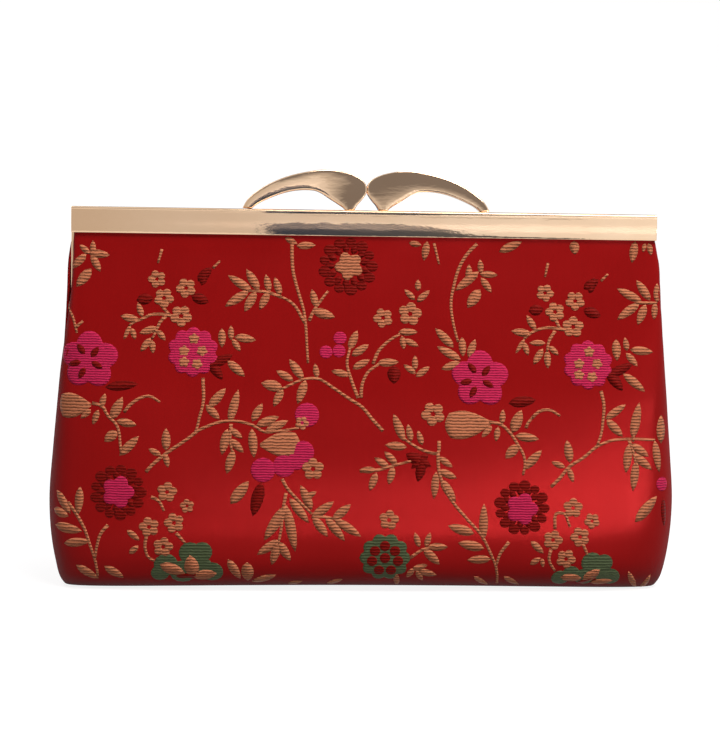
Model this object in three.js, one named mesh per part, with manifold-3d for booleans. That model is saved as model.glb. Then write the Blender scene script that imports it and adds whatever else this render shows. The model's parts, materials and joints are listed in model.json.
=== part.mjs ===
// Framed brocade clutch wallet: two pressed metal frame halves on side rivets, a horn clasp and a soft lined bag.
// Millimetres, +Z up, front towards -Y, origin at the middle of the bottom.
import * as THREE from "three";
import { LoftGeometry } from "three/addons/geometries/LoftGeometry.js";
import { mergeVertices } from "three/addons/utils/BufferGeometryUtils.js";
import Module from "manifold-3d";

// Overall sizes
const frameLength = 180;
const bagHeight = 107.5;
const bagDepth = 41;
const bagFlare = 12.4;
const bagWidth = frameLength + bagFlare;

// Frame bars and side arms
const barHeight = 8;
const barDepth = 4.5;
const sheet = 0.8;
const barTopRadius = 1.2;
const innerWallShort = 2;
const armThickness = 1.2;
const armWidth = 2.8;
const hingeDrop = 27.5;
const eyeRadius = 3.2;

// Rivets
const rivetRadius = 1.2;
const rivetHeadRadius = 2.3;
const rivetHeadHeight = 0.7;

// Horn clasp
const hornReach = 38.3;
const hornRise = 12.4;
const hornDepth = 5;
const hornBevel = 0.5;
const tenonRadius = 0.7;
const tenonLength = 1.2;

// Cloth
const clothThickness = 1.2;
const liningThickness = 0.5;
const hemInset = 1.5;

// Room between pieces
const gap = 0.3;

// Heights and planes that follow from the sizes above
const barTop = bagHeight + barHeight;
const hingeZ = bagHeight - hingeDrop;
const barInnerY = -gap / 2;
const barOuterY = barInnerY - barDepth;
const hemTop = barTop - sheet - hemInset;
const hemHalfDepth = -barOuterY - sheet - gap - 0.05;
const outerArmX = frameLength / 2 - armThickness;
const innerArmX = outerArmX - gap - armThickness;
const clothHalfWidth = innerArmX - gap;
const pouchRim = hingeZ - 4;
const flapFoot = hingeZ - 5.5;
const tenonY = barInnerY - sheet - gap - tenonRadius - 0.05;
const tenonPlaces = [-0.135 * hornReach, -0.95 * hornReach];

// Materials
const goldMetal = new THREE.MeshStandardMaterial({ color: 0xd9b48c, roughness: 0.22, metalness: 1 });
const redBrocade = new THREE.MeshStandardMaterial({ color: 0x981412, roughness: 0.6, metalness: 0 });
const redLining = new THREE.MeshStandardMaterial({ color: 0x7d1a1c, roughness: 0.5, metalness: 0 });

const wasm = await Module();
wasm.setup();

// Turns a closed geometry into a solid that can be added to or cut
function solid(geometry) {
  const bare = new THREE.BufferGeometry();
  bare.setAttribute("position", geometry.getAttribute("position"));
  bare.setIndex(geometry.getIndex());
  const merged = mergeVertices(bare, 1e-4);
  const corners = merged.getIndex().array;
  const kept = [];
  for (let i = 0; i < corners.length; i += 3) {
    const [a, b, c] = corners.slice(i, i + 3);
    if (a !== b && b !== c && c !== a) {
      kept.push(a, b, c);
    }
  }
  const vertProperties = new Float32Array(merged.getAttribute("position").array);
  return new wasm.Manifold(new wasm.Mesh({ numProp: 3, vertProperties, triVerts: new Uint32Array(kept) }));
}

// Turns a solid back into a named mesh
function mesh(name, body, material) {
  const data = body.getMesh();
  const geometry = new THREE.BufferGeometry();
  geometry.setAttribute("position", new THREE.BufferAttribute(new Float32Array(data.vertProperties), 3));
  geometry.setIndex(new THREE.BufferAttribute(new Uint32Array(data.triVerts), 1));
  geometry.computeVertexNormals();
  const node = new THREE.Mesh(geometry, material);
  node.name = name;
  return node;
}

// A box between two corners
function box(low, high) {
  const size = high.map((value, i) => value - low[i]);
  const middle = high.map((value, i) => (value + low[i]) / 2);
  return solid(new THREE.BoxGeometry(...size).translate(...middle));
}

// An upright round pin or cutter
function pin(radius, x, y, low, high) {
  const geometry = new THREE.CylinderGeometry(radius, radius, high - low, 20).rotateX(Math.PI / 2);
  return solid(geometry.translate(x, y, (low + high) / 2));
}

// A side outline, drawn as y across and z up, made thick along x from a start plane
function sideways(shape, x, thickness) {
  const geometry = new THREE.ExtrudeGeometry(shape, { depth: thickness, bevelEnabled: false, curveSegments: 10 });
  const turn = new THREE.Matrix4().makeBasis(
    new THREE.Vector3(0, 1, 0),
    new THREE.Vector3(0, 0, 1),
    new THREE.Vector3(1, 0, 0),
  );
  return solid(geometry.applyMatrix4(turn).translate(x, 0, 0));
}

// The bar is a channel, open below, with a rounded top edge at the front
function barOutline() {
  const innerTopRadius = barTopRadius / 2;
  const shape = new THREE.Shape();
  shape.moveTo(barOuterY, bagHeight);
  shape.lineTo(barOuterY + sheet, bagHeight);
  shape.lineTo(barOuterY + sheet, barTop - sheet);
  shape.lineTo(barInnerY - sheet, barTop - sheet);
  shape.lineTo(barInnerY - sheet, bagHeight + innerWallShort);
  shape.lineTo(barInnerY, bagHeight + innerWallShort);
  shape.lineTo(barInnerY, barTop - innerTopRadius);
  shape.absarc(barInnerY - innerTopRadius, barTop - innerTopRadius, innerTopRadius, 0, Math.PI / 2, false);
  shape.lineTo(barOuterY + barTopRadius, barTop);
  shape.absarc(barOuterY + barTopRadius, barTop - barTopRadius, barTopRadius, Math.PI / 2, Math.PI, false);
  shape.closePath();
  return shape;
}

// The side arm closes the end of the bar and runs down to a round eye on the hinge line
function armOutline() {
  const front = -eyeRadius;
  const back = front + armWidth;
  const plateFront = barOuterY + sheet / 2;
  const plateTop = barTop - sheet / 2;
  const eyeEnd = 2 * Math.PI + Math.acos(back / eyeRadius);
  const shape = new THREE.Shape();
  shape.moveTo(back, plateTop);
  shape.lineTo(plateFront, plateTop);
  shape.lineTo(plateFront, bagHeight + 1);
  shape.lineTo(front, bagHeight);
  shape.lineTo(front, hingeZ);
  shape.absarc(0, hingeZ, eyeRadius, Math.PI, eyeEnd, false);
  shape.closePath();
  const hole = new THREE.Path();
  hole.absarc(0, hingeZ, rivetRadius + gap, 0, 2 * Math.PI, true);
  shape.holes.push(hole);
  return shape;
}

// One frame half: the bar, an outer arm on the left, an inner arm on the right and holes for the horn
function frameHalf() {
  const bar = sideways(barOutline(), -frameLength / 2, frameLength);
  const outerArm = sideways(armOutline(), -outerArmX - armThickness, armThickness);
  const innerArm = sideways(armOutline(), innerArmX, armThickness);
  const endPlate = box(
    [frameLength / 2 - sheet, barOuterY + sheet / 2, bagHeight + 0.5],
    [frameLength / 2, barInnerY - sheet / 2, barTop - sheet / 2],
  );
  let frame = bar.add(outerArm).add(innerArm).add(endPlate);
  for (const x of tenonPlaces) {
    frame = frame.subtract(pin(tenonRadius + gap, x, tenonY, barTop - sheet - 1, barTop + 1));
  }
  return frame;
}

// The horn is a crescent with a round nose at the middle and a pointed tip outside
function hornOutline() {
  const foot = gap;
  const at = (x, z) => new THREE.Vector2(-x * hornReach, z * hornRise);
  const shape = new THREE.Shape();
  shape.moveTo(-gap / 2, 0.5 * hornRise);
  shape.splineThru([
    at(0.01, 0.65),
    at(0.04, 0.77),
    at(0.12, 0.89),
    at(0.22, 0.97),
    at(0.32, 1),
    at(0.44, 0.965),
    at(0.56, 0.895),
    at(0.68, 0.78),
    at(0.8, 0.61),
    at(0.92, 0.36),
    at(0.975, 0.2),
    at(1, 0.1),
  ]);
  shape.quadraticCurveTo(-hornReach, foot, -0.985 * hornReach, foot);
  shape.lineTo(-0.92 * hornReach, foot);
  shape.splineThru([
    at(0.88, 0.11),
    at(0.8, 0.24),
    at(0.66, 0.405),
    at(0.52, 0.48),
    at(0.42, 0.47),
    at(0.36, 0.4),
    at(0.3, 0.28),
    at(0.23, 0.14),
    at(0.17, foot / hornRise),
  ]);
  shape.lineTo(-0.1 * hornReach, foot);
  shape.splineThru([at(0.065, 0.17), at(0.02, 0.34), new THREE.Vector2(-gap / 2, 0.44 * hornRise)]);
  shape.closePath();
  return shape;
}

// One horn, standing on the front bar by two tenons and reaching a little over the other bar
function hornHalf() {
  const front = tenonY - tenonRadius - 0.2;
  const outline = new THREE.ExtrudeGeometry(hornOutline(), {
    depth: hornDepth - 2 * hornBevel,
    bevelThickness: hornBevel,
    bevelSize: hornBevel,
    bevelOffset: -hornBevel,
    bevelSegments: 2,
    curveSegments: 2,
  });
  let horn = solid(outline.rotateX(Math.PI / 2).translate(0, front + hornDepth - hornBevel, barTop));
  for (const x of tenonPlaces) {
    horn = horn.add(pin(tenonRadius, x, tenonY, barTop - tenonLength, barTop + 1));
  }
  return horn;
}

// A hinge rivet with a domed head at both ends, centred between the two arms of one side
function rivet(side) {
  const reach = armThickness + gap * 1.5;
  const crown = reach + rivetHeadHeight;
  const profile = [
    [0, -crown],
    [rivetHeadRadius * 0.7, -reach - 0.6 * rivetHeadHeight],
    [rivetHeadRadius, -reach],
    [rivetRadius, -reach],
    [rivetRadius, reach],
    [rivetHeadRadius, reach],
    [rivetHeadRadius * 0.7, reach + 0.6 * rivetHeadHeight],
    [0, crown],
  ].map(([r, h]) => new THREE.Vector2(r, h));
  const geometry = new THREE.LatheGeometry(profile, 24).rotateZ(-Math.PI / 2);
  const middleX = outerArmX - gap / 2;
  return solid(geometry.translate(side * middleX, 0, hingeZ));
}

// The bag from the base to the hem: height, half width and half depth as shares, and how square the plan is
const bagLevels = [
  [0, 0.95, 0.72, 5],
  [0.022, 0.966, 0.86, 5],
  [0.06, 0.977, 0.955, 5],
  [0.13, 0.991, 1, 5],
  [0.25, 1, 0.955, 5],
  [0.39, 0.99, 0.865, 5],
  [0.53, 0.976, 0.73, 6],
  [0.64, 0.964, 0.58, 9],
  [0.745, 0.956, 0.445, 14],
  [0.84, 0.951, 0.325, 20],
  [0.93, 0.947, 0.235, 30],
];

// The upper front cloth hangs from the front bar and tucks in behind the rim of the bag
const flapLevels = [
  [0.6, 0.96, 0.46, 20],
  [0.745, 0.957, 0.365, 20],
  [0.84, 0.952, 0.29, 24],
  [0.93, 0.949, 0.225, 30],
];

// One closed ring of the bag at a height, drawn in by an inset
function ring(level, inset, z) {
  const [, widthShare, depthShare, squareness] = level;
  const halfWidth = (widthShare * bagWidth) / 2 - inset;
  const halfDepth = (depthShare * bagDepth) / 2 - inset;
  const points = [];
  const count = 40;
  const bend = (value) => Math.sign(value) * Math.abs(value) ** (2 / squareness);
  for (let i = 0; i < count; i += 1) {
    const angle = ((i + 0.5) / count) * 2 * Math.PI;
    points.push(new THREE.Vector3(halfWidth * bend(Math.cos(angle)), halfDepth * bend(Math.sin(angle)), z));
  }
  return points;
}

// A full body through all levels, ending in a straight hem inside the bars
function loft(levels, inset, top) {
  const hem = [0, 0.948, (2 * hemHalfDepth) / bagDepth, 40];
  const sections = levels.map((level) => ring(level, inset, Math.max(level[0] * bagHeight, inset)));
  sections.push(ring(hem, inset, bagHeight));
  sections.push(ring(hem, inset, top));
  return solid(new LoftGeometry(sections, { capStart: true, capEnd: true }));
}

// An even skin, open at the top, lying an inset inside the outer face of the cloth
function skin(levels, inset, thickness) {
  return loft(levels, inset, hemTop).subtract(loft(levels, inset + thickness, hemTop + 1));
}

// The bag keeps its back wall up to the hem, and its front and sides only up to the rim
function bag(inset, thickness, rim) {
  const far = bagWidth;
  const frontAndMiddle = box([-far, -far, rim], [far, gap, barTop]);
  const leftEnd = box([-far, -far, rim], [-clothHalfWidth, far, barTop]);
  const rightEnd = box([clothHalfWidth, -far, rim], [far, far, barTop]);
  return skin(bagLevels, inset, thickness).subtract(frontAndMiddle).subtract(leftEnd).subtract(rightEnd);
}

// The upper front cloth keeps only its front wall
function flap(inset, thickness, foot) {
  const kept = box([-clothHalfWidth, -bagDepth, foot], [clothHalfWidth, -gap, barTop]);
  return skin(flapLevels, inset, thickness).intersect(kept);
}

const liningInset = clothThickness + gap;

// The front half swings; the back half is the same frame and horn turned half round
const frontHalf = new THREE.Group();
frontHalf.add(
  mesh("front_frame", frameHalf(), goldMetal),
  mesh("left_horn", hornHalf(), goldMetal),
  mesh("front_shell", flap(0, clothThickness, flapFoot), redBrocade),
  mesh("front_lining", flap(liningInset, liningThickness, flapFoot), redLining),
);

const turnedHalf = new THREE.Group();
turnedHalf.rotation.z = Math.PI;
turnedHalf.add(mesh("back_frame", frameHalf(), goldMetal), mesh("right_horn", hornHalf(), goldMetal));

const wallet = new THREE.Group();
wallet.name = "clutch_wallet";
wallet.add(
  frontHalf,
  turnedHalf,
  mesh("left_rivet", rivet(-1), goldMetal),
  mesh("right_rivet", rivet(1), goldMetal),
  mesh("bag_shell", bag(0, clothThickness, pouchRim), redBrocade),
  mesh("bag_lining", bag(liningInset, liningThickness, pouchRim - 4), redLining),
);

export default wallet;
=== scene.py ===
import json
import math

import bmesh
import bpy
import numpy as np
from mathutils import Matrix, Vector


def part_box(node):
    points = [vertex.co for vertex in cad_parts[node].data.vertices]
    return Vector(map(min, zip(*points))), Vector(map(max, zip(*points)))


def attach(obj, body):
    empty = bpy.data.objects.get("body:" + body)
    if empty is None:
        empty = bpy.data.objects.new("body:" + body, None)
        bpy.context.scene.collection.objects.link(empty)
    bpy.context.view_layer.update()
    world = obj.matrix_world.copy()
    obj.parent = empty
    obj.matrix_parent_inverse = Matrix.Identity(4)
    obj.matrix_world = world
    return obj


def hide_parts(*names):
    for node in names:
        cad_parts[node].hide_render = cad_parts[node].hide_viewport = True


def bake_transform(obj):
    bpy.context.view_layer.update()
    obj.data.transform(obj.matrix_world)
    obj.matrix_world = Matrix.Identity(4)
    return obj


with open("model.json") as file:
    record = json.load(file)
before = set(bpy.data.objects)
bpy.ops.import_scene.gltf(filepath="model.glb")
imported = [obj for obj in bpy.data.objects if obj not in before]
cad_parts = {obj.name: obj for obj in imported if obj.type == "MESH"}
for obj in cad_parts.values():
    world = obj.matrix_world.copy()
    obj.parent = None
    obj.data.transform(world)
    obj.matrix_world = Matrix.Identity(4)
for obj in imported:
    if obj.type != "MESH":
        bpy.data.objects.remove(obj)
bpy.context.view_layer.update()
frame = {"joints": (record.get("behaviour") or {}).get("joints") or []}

bl_info = {
    "name": "Clutch Wallet",
    "version": (1, 0, 0),
    "blender": (4, 5, 0),
    "location": "3D View > Sidebar > Wallet",
    "description": "Builds a framed brocade clutch wallet round its packed frame",
    "category": "Object",
}

MM = 0.001

# How strongly the white surround lights the wallet, and how white the floor looks
SKY_LIGHT = 0.22
FLOOR_GLOW = 0.86

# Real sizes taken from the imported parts
FRONT_LOW, FRONT_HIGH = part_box("front_frame")
HORN_LOW, HORN_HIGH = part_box("left_horn")
BAR_HALF = FRONT_HIGH.x
BAR_TOP = FRONT_HIGH.z
BAR_FACE = -FRONT_LOW.y
HINGE = Vector(frame["joints"][0]["pos_m"])

# Picture size that the flower places are read in
PICTURE_WIDTH = 720
PICTURE_HEIGHT = 747

# The bag's form from base to bar: height share, half width share, half depth share, squareness
BAG_LEVELS = (
    (0.0, 0.95, 0.72, 5),
    (0.022, 0.966, 0.86, 5),
    (0.06, 0.977, 0.955, 5),
    (0.13, 0.991, 1.0, 5),
    (0.25, 1.0, 0.955, 5),
    (0.39, 0.99, 0.865, 5),
    (0.53, 0.976, 0.73, 6),
    (0.64, 0.964, 0.58, 9),
    (0.745, 0.956, 0.445, 14),
    (0.84, 0.951, 0.325, 20),
    (0.93, 0.947, 0.235, 30),
)


def length_setting(name, description, millimetres):
    """A length property, given in millimetres."""
    return bpy.props.FloatProperty(
        name=name, description=description, default=millimetres * MM, unit="LENGTH"
    )


def colour_setting(name, description, colour):
    """A colour property."""
    return bpy.props.FloatVectorProperty(
        name=name, description=description, default=colour, size=3, subtype="COLOR"
    )


def angle_setting(name, description, degrees):
    """An angle property, given in degrees."""
    return bpy.props.FloatProperty(
        name=name, description=description, default=math.radians(degrees), subtype="ANGLE"
    )


class WalletFrameSizes(bpy.types.PropertyGroup):
    bar_height: length_setting("Bar height", "Height of the pressed bar", 8)
    sheet: length_setting("Sheet", "Thickness of the pressed metal", 0.8)
    crown: length_setting("Crown", "How far the bar's face swells", 0.22)
    edge: length_setting("Edge radius", "Radius of the bar's top edges", 0.9)
    halves_gap: length_setting("Gap", "Gap between the two bars", 0.3)
    arm_width: length_setting("Arm width", "Width of a side arm", 2.8)
    arm_thickness: length_setting("Arm thickness", "Thickness of a side arm", 1.2)
    eye_radius: length_setting("Eye radius", "Radius of the hinge eye", 3.2)
    rivet_radius: length_setting("Rivet radius", "Radius of the rivet's shank", 1.2)
    rivet_head: length_setting("Rivet head", "Radius of the rivet's head", 2.3)


class WalletClothSizes(bpy.types.PropertyGroup):
    height: length_setting("Bag height", "Base to the bar's lower edge", 107.5)
    width: length_setting("Bag width", "Width at the fullest", 192.4)
    depth: length_setting("Bag depth", "Depth at the fullest", 41)
    thickness: length_setting("Brocade", "Thickness of the backed brocade", 0.9)
    lining: length_setting("Lining", "Thickness of the lining", 0.4)
    thread_rise: length_setting("Thread rise", "How far woven flowers stand up", 0.16)
    slack: length_setting("Slack", "Depth of the soft waves in the cloth", 0.35)


class WalletColours(bpy.types.PropertyGroup):
    ground: colour_setting("Ground", "Red satin ground", (0.295, 0.0050, 0.0050))
    lining: colour_setting("Lining", "Lining satin", (0.20, 0.008, 0.010))
    gold_thread: colour_setting("Gold thread", "Gold flower thread", (0.585, 0.198, 0.096))
    pink_thread: colour_setting("Pink thread", "Pink flower thread", (0.59, 0.023, 0.090))
    maroon_thread: colour_setting("Maroon thread", "Maroon flower thread", (0.18, 0.0070, 0.0050))
    green_thread: colour_setting("Green thread", "Green flower thread", (0.056, 0.072, 0.034))
    metal: colour_setting("Metal", "Pale gold plating", (0.80, 0.58, 0.395))
    floor: colour_setting("Floor", "Studio floor", (0.18, 0.18, 0.18))


class WalletView(bpy.types.PropertyGroup):
    azimuth: angle_setting("Azimuth", "Turn of the camera", -3.92)
    elevation: angle_setting("Elevation", "Height angle of the camera", 4.0)
    roll: angle_setting("Roll", "Tilt of the camera", 0.84)
    distance: length_setting("Distance", "Camera to the aim point", 600)
    focal: bpy.props.FloatProperty(
        name="Focal length", description="Focal length in picture points", default=1933.4
    )
    aim: bpy.props.FloatVectorProperty(
        name="Aim", description="Point looked at", default=(-0.0012, 0, 0.0651), size=3,
        subtype="TRANSLATION",
    )


# Helpers for objects
def wallet():
    """The scene, which holds the wallet's settings."""
    return bpy.context.scene


def new_object(name, bm, material):
    """Turns a bmesh into a linked object with one material."""
    mesh = bpy.data.meshes.new(name)
    bm.to_mesh(mesh)
    bm.free()
    mesh.materials.append(material)
    mesh.shade_smooth()
    obj = bpy.data.objects.new(name, mesh)
    bpy.context.scene.collection.objects.link(obj)
    return obj


def added_verts(result):
    """The points that an operator has added."""
    return [item for item in result["geom"] if isinstance(item, bmesh.types.BMVert)]


def close_back(bm, level):
    """Closes a flat patch with a copy of itself at a level."""
    back = bmesh.ops.extrude_face_region(bm, geom=bm.faces[:], use_keep_orig=True)
    for vert in added_verts(back):
        vert.co.z = level
    bmesh.ops.recalc_face_normals(bm, faces=bm.faces)


def round_edges(bm, edges, radius, segments):
    """Rounds edges off."""
    bmesh.ops.bevel(
        bm, geom=edges, offset=radius, segments=segments, profile=0.5, affect="EDGES", material=-1,
        clamp_overlap=True,
    )


def even_shading(piece):
    """Keeps flat faces flat beside rounded edges."""
    piece.modifiers.new("Even shading", "WEIGHTED_NORMAL").keep_sharp = True


def turned_copy(source, name):
    """A copy of a piece turned half round the upright axis."""
    bm = bmesh.new()
    bm.from_mesh(source.data)
    bmesh.ops.rotate(bm, cent=(0, 0, 0), matrix=Matrix.Rotation(math.pi, 3, "Z"), verts=bm.verts)
    return new_object(name, bm, source.data.materials[0])


# The view of the picture
def view_axes():
    """Camera place and its right, up and forward directions."""
    view = wallet().wallet_view
    out = Vector((
        math.sin(view.azimuth) * math.cos(view.elevation),
        -math.cos(view.azimuth) * math.cos(view.elevation),
        math.sin(view.elevation),
    ))
    forward = -out
    level = forward.cross(Vector((0, 0, 1))).normalized()
    upright = level.cross(forward)
    right = level * math.cos(view.roll) + upright * math.sin(view.roll)
    up = upright * math.cos(view.roll) - level * math.sin(view.roll)
    place = Vector(view.aim) + out * view.distance
    return place, right, up, forward


def seen_at(points):
    """Where points of the model fall in the picture."""
    place, right, up, forward = view_axes()
    focal = wallet().wallet_view.focal
    ray = points - np.array(place)
    away = ray @ np.array(forward)
    across = PICTURE_WIDTH / 2 + focal * (ray @ np.array(right)) / away
    down = PICTURE_HEIGHT / 2 - focal * (ray @ np.array(up)) / away
    return across, down


# The net that the cloth is drawn on
ROWS = 134
COLUMNS = 185
WALL_SAMPLES = 260
BASE_SAMPLES = 60
SECTION_SAMPLES = 721
PROFILE_PASSES = 6

# The hem held in the bar
HEM_TOP = 113.0 * MM
HEM_HALF_DEPTH = 3.5 * MM
HEM_SQUARE = 40
HEM_INSET = 0.2 * MM
HEM_TOP_INSET = 2 * MM

# The side seams: the left one draws in towards the bar and shows the arm
SIDE_SEAM = 0.02 * MM
LEFT_EDGE = 89.4 * MM
SEAM_OPENS = 64 * MM
SEAM_OPEN = 102 * MM

# Waves of the hung cloth: their shares, how they fade, and wave lengths in millimetres
PUCKER_SHARE = 0.35
PUCKER_FADE = 9 * MM
FINE_PUCKER, FINE_WANDER = 3.1, 17
WIDE_PUCKER, WIDE_PUCKER_SHARE = 7.3, 0.6
BROAD_SHARE = 0.9
BROAD_ACROSS, BROAD_DOWN = 26, 23
BROAD_WANDER, BROAD_SLANT = 31, 90
BASE_SHARE = 0.5
BASE_HEIGHT, BASE_SPREAD = 7, 6
BASE_ACROSS, BASE_WANDER = 11, 29
STILL_SIDES = 0.06
STILL_HEM = 5 * MM
FULL_WAVE = 12 * MM
STILL_FOOT, LIVELY_FOOT = 0.5 * MM, 7 * MM

# The arch of the standing base
BASE_ARCH = 1.0 * MM
ARCH_FADE = 9 * MM
FOOT_LIFT = 0.1 * MM
FOOT_FADE = 5 * MM

# Where the front cloth lies in the picture, to start the search for a place from
CLOTH_LEFT, CLOTH_ACROSS = 60, 610
CLOTH_TOP, CLOTH_DOWN = 222, 400
SEARCH_TURNS = 25
ACROSS_STEP = 0.8 / 640
DOWN_STEP = 0.7 / 420
ACROSS_ENDS = (0.01, 0.99)
DOWN_ENDS = (0.03, 0.93)


def soft_step(value, start, end):
    """Goes smoothly from 0 at start to 1 at end."""
    share = np.clip((value - start) / (end - start), 0, 1)
    return share * share * (3 - 2 * share)


def eased(at, places, values):
    """A smooth line through values at rising places."""
    places = np.array(places)
    values = np.array(values)
    slopes = np.gradient(values, places)
    cell = np.clip(np.searchsorted(places, at) - 1, 0, len(places) - 2)
    span = places[cell + 1] - places[cell]
    share = np.clip((at - places[cell]) / span, 0, 1)
    rest = 1 - share
    ends = values[cell] * rest**2 * (1 + 2 * share) + values[cell + 1] * share**2 * (3 - 2 * share)
    pulls = slopes[cell] * rest**2 * share - slopes[cell + 1] * share**2 * rest
    return ends + span * pulls


def softened(line, passes):
    """Rounds a line of values off and keeps its ends."""
    for _ in range(passes):
        line[1:-1] = (line[:-2] + 2 * line[1:-1] + line[2:]) / 4
    return line


def bag_profile():
    """Height, half width, half depth and squareness, row by row from the hem to the middle of the base."""
    cloth = wallet().wallet_cloth
    shares = [level[0] for level in BAG_LEVELS] + [1.0]
    halves = [level[1] * cloth.width / 2 for level in BAG_LEVELS] + [BAR_HALF - HEM_INSET]
    depths = [level[2] * cloth.depth / 2 for level in BAG_LEVELS] + [HEM_HALF_DEPTH]
    square = [level[3] for level in BAG_LEVELS] + [HEM_SQUARE]
    walls = np.linspace(1, 0, WALL_SAMPLES)
    base = np.linspace(1, 0, BASE_SAMPLES)[1:]
    height = np.concatenate(([HEM_TOP], walls * cloth.height, base * 0))
    half = np.concatenate(([BAR_HALF - HEM_TOP_INSET], eased(walls, shares, halves), base * 0 + halves[0]))
    depth = np.concatenate(([HEM_HALF_DEPTH], eased(walls, shares, depths), base * depths[0]))
    power = np.concatenate(([HEM_SQUARE], eased(walls, shares, square), base * 0 + square[0]))
    length = np.concatenate(([0], np.cumsum(np.hypot(np.diff(height), np.diff(depth)))))
    rows = np.linspace(0, length[-1], ROWS)
    lines = [np.interp(rows, length, line) for line in (height, half, depth, power)]
    lines = [softened(line, PROFILE_PASSES) for line in lines]
    return rows, *lines


def cross_section(left, right, depth, power):
    """One row of the front cloth from the left seam to the right seam, at even steps along the cloth."""
    turn = np.linspace(math.pi, 0, SECTION_SAMPLES)
    across = np.sign(np.cos(turn)) * np.abs(np.cos(turn)) ** (2 / power)
    x = np.where(across < 0, across * left, across * right)
    y = -SIDE_SEAM - depth * np.abs(np.sin(turn)) ** (2 / power)
    length = np.concatenate(([0], np.cumsum(np.hypot(np.diff(x), np.diff(y)))))
    steps = np.linspace(0, length[-1], COLUMNS)
    middle = np.interp(0, x, length)
    return np.interp(steps, length, x), np.interp(steps, length, y), steps - middle


def soft_waves(places, down):
    """Gentle unevenness of hung cloth: puckers under the bar and broad slack below."""
    x = places[..., 0] / MM
    z = places[..., 2] / MM
    fine = np.sin(x / FINE_PUCKER + 1.2 * np.sin(x / FINE_WANDER))
    wide = np.sin(x / WIDE_PUCKER + 2)
    under_bar = np.exp(-down / PUCKER_FADE) * (fine + WIDE_PUCKER_SHARE * wide)
    across = np.sin(x / BROAD_ACROSS + 0.8 * np.sin(z / BROAD_WANDER) + 0.4)
    broad = across * np.sin(z / BROAD_DOWN + x / BROAD_SLANT + 1.1)
    ripple = np.sin(x / BASE_ACROSS + 1.7 * np.sin(x / BASE_WANDER))
    near_base = np.exp(-((z - BASE_HEIGHT) / BASE_SPREAD) ** 2) * ripple
    return PUCKER_SHARE * under_bar + BROAD_SHARE * broad + BASE_SHARE * near_base


class ClothForm:
    """The front cloth as an even net of places, with the cloth's own flat measures."""

    def __init__(self):
        cloth = wallet().wallet_cloth
        self.rows, height, half, depth, power = bag_profile()
        self.places = np.zeros((ROWS, COLUMNS, 3))
        self.flat = np.zeros((ROWS, COLUMNS))
        for row in range(ROWS):
            open_share = soft_step(height[row], SEAM_OPENS, SEAM_OPEN)
            left = half[row] + (LEFT_EDGE - half[row]) * open_share
            x, y, flat = cross_section(left, half[row], max(depth[row] - SIDE_SEAM, 0), power[row])
            self.places[row] = np.stack([x, y, np.full(COLUMNS, height[row])], axis=1)
            self.flat[row] = flat
        self.arch_base()
        down = np.clip(cloth.height - self.places[..., 2], 0, None)
        edge = np.linspace(0, 1, COLUMNS)
        keep = soft_step(edge, 0, STILL_SIDES) * soft_step(1 - edge, 0, STILL_SIDES)
        fade = soft_step(self.rows, STILL_HEM, FULL_WAVE)
        fade = fade * soft_step(self.rows[-1] - self.rows, 0, FULL_WAVE)
        wave = soft_waves(self.places, down) * fade[:, None] * keep[None, :]
        wave *= soft_step(self.places[..., 2], STILL_FOOT, LIVELY_FOOT)
        self.places += self.facing() * (wave * cloth.slack)[..., None]
        self.normals = self.facing()

    def arch_base(self):
        """Lifts the middle of the base a little, as a standing bag does."""
        x = self.places[..., 0] / (BAG_LEVELS[0][1] * wallet().wallet_cloth.width / 2)
        z = self.places[..., 2]
        arch = np.clip(1 - x**2, 0, 1) * np.exp(-z / ARCH_FADE)
        self.places[..., 2] += BASE_ARCH * arch + FOOT_LIFT * np.exp(-z / FOOT_FADE)

    def facing(self):
        """Outward directions of the net."""
        along = np.gradient(self.places, axis=1)
        down = np.gradient(self.places, axis=0)
        out = np.cross(down, along)
        return out / np.maximum(np.linalg.norm(out, axis=2, keepdims=True), 1e-12)

    def cell(self, across, down):
        """Net row, column and their remainders for shares across and down."""
        column = np.clip(across, 0, 1) * (COLUMNS - 1)
        row = np.clip(down, 0, 1) * (ROWS - 1)
        left = np.clip(column.astype(int), 0, COLUMNS - 2)
        top = np.clip(row.astype(int), 0, ROWS - 2)
        return top, left, row - top, column - left

    def mix(self, net, across, down):
        """Values of a net at shares across and down."""
        top, left, below, beside = self.cell(across, down)
        if net.ndim == 3:
            below = below[:, None]
            beside = beside[:, None]
        upper = net[top, left] * (1 - beside) + net[top, left + 1] * beside
        lower = net[top + 1, left] * (1 - beside) + net[top + 1, left + 1] * beside
        return upper * (1 - below) + lower * below

    def place(self, across, down, rise):
        """Places on the cloth, raised off it."""
        normal = self.mix(self.normals, across, down)
        return self.mix(self.places, across, down) + normal * np.asarray(rise)[:, None]

    def shares_from_flat(self, u, v):
        """Shares across and down for the cloth's own flat measures."""
        down = v / self.rows[-1]
        zero = np.zeros_like(down)
        start = self.mix(self.flat, zero, down)
        end = self.mix(self.flat, zero + 1, down)
        return (u - start) / (end - start), down

    def flat_from_picture(self, picture):
        """The cloth's flat measures at points of the picture."""
        px, py = np.array(picture, float).T
        across = (px - CLOTH_LEFT) / CLOTH_ACROSS
        down = (py - CLOTH_TOP) / CLOTH_DOWN
        for _ in range(SEARCH_TURNS):
            x, y = seen_at(self.place(across, down, 0 * px))
            across = np.clip(across + ACROSS_STEP * (px - x), *ACROSS_ENDS)
            down = np.clip(down + DOWN_STEP * (py - y), *DOWN_ENDS)
        return np.stack([self.mix(self.flat, across, down), down * self.rows[-1]], axis=1)


FORM = []


def form():
    """The cloth form, worked out once."""
    if not FORM:
        FORM.append(ClothForm())
    return FORM[0]


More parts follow.
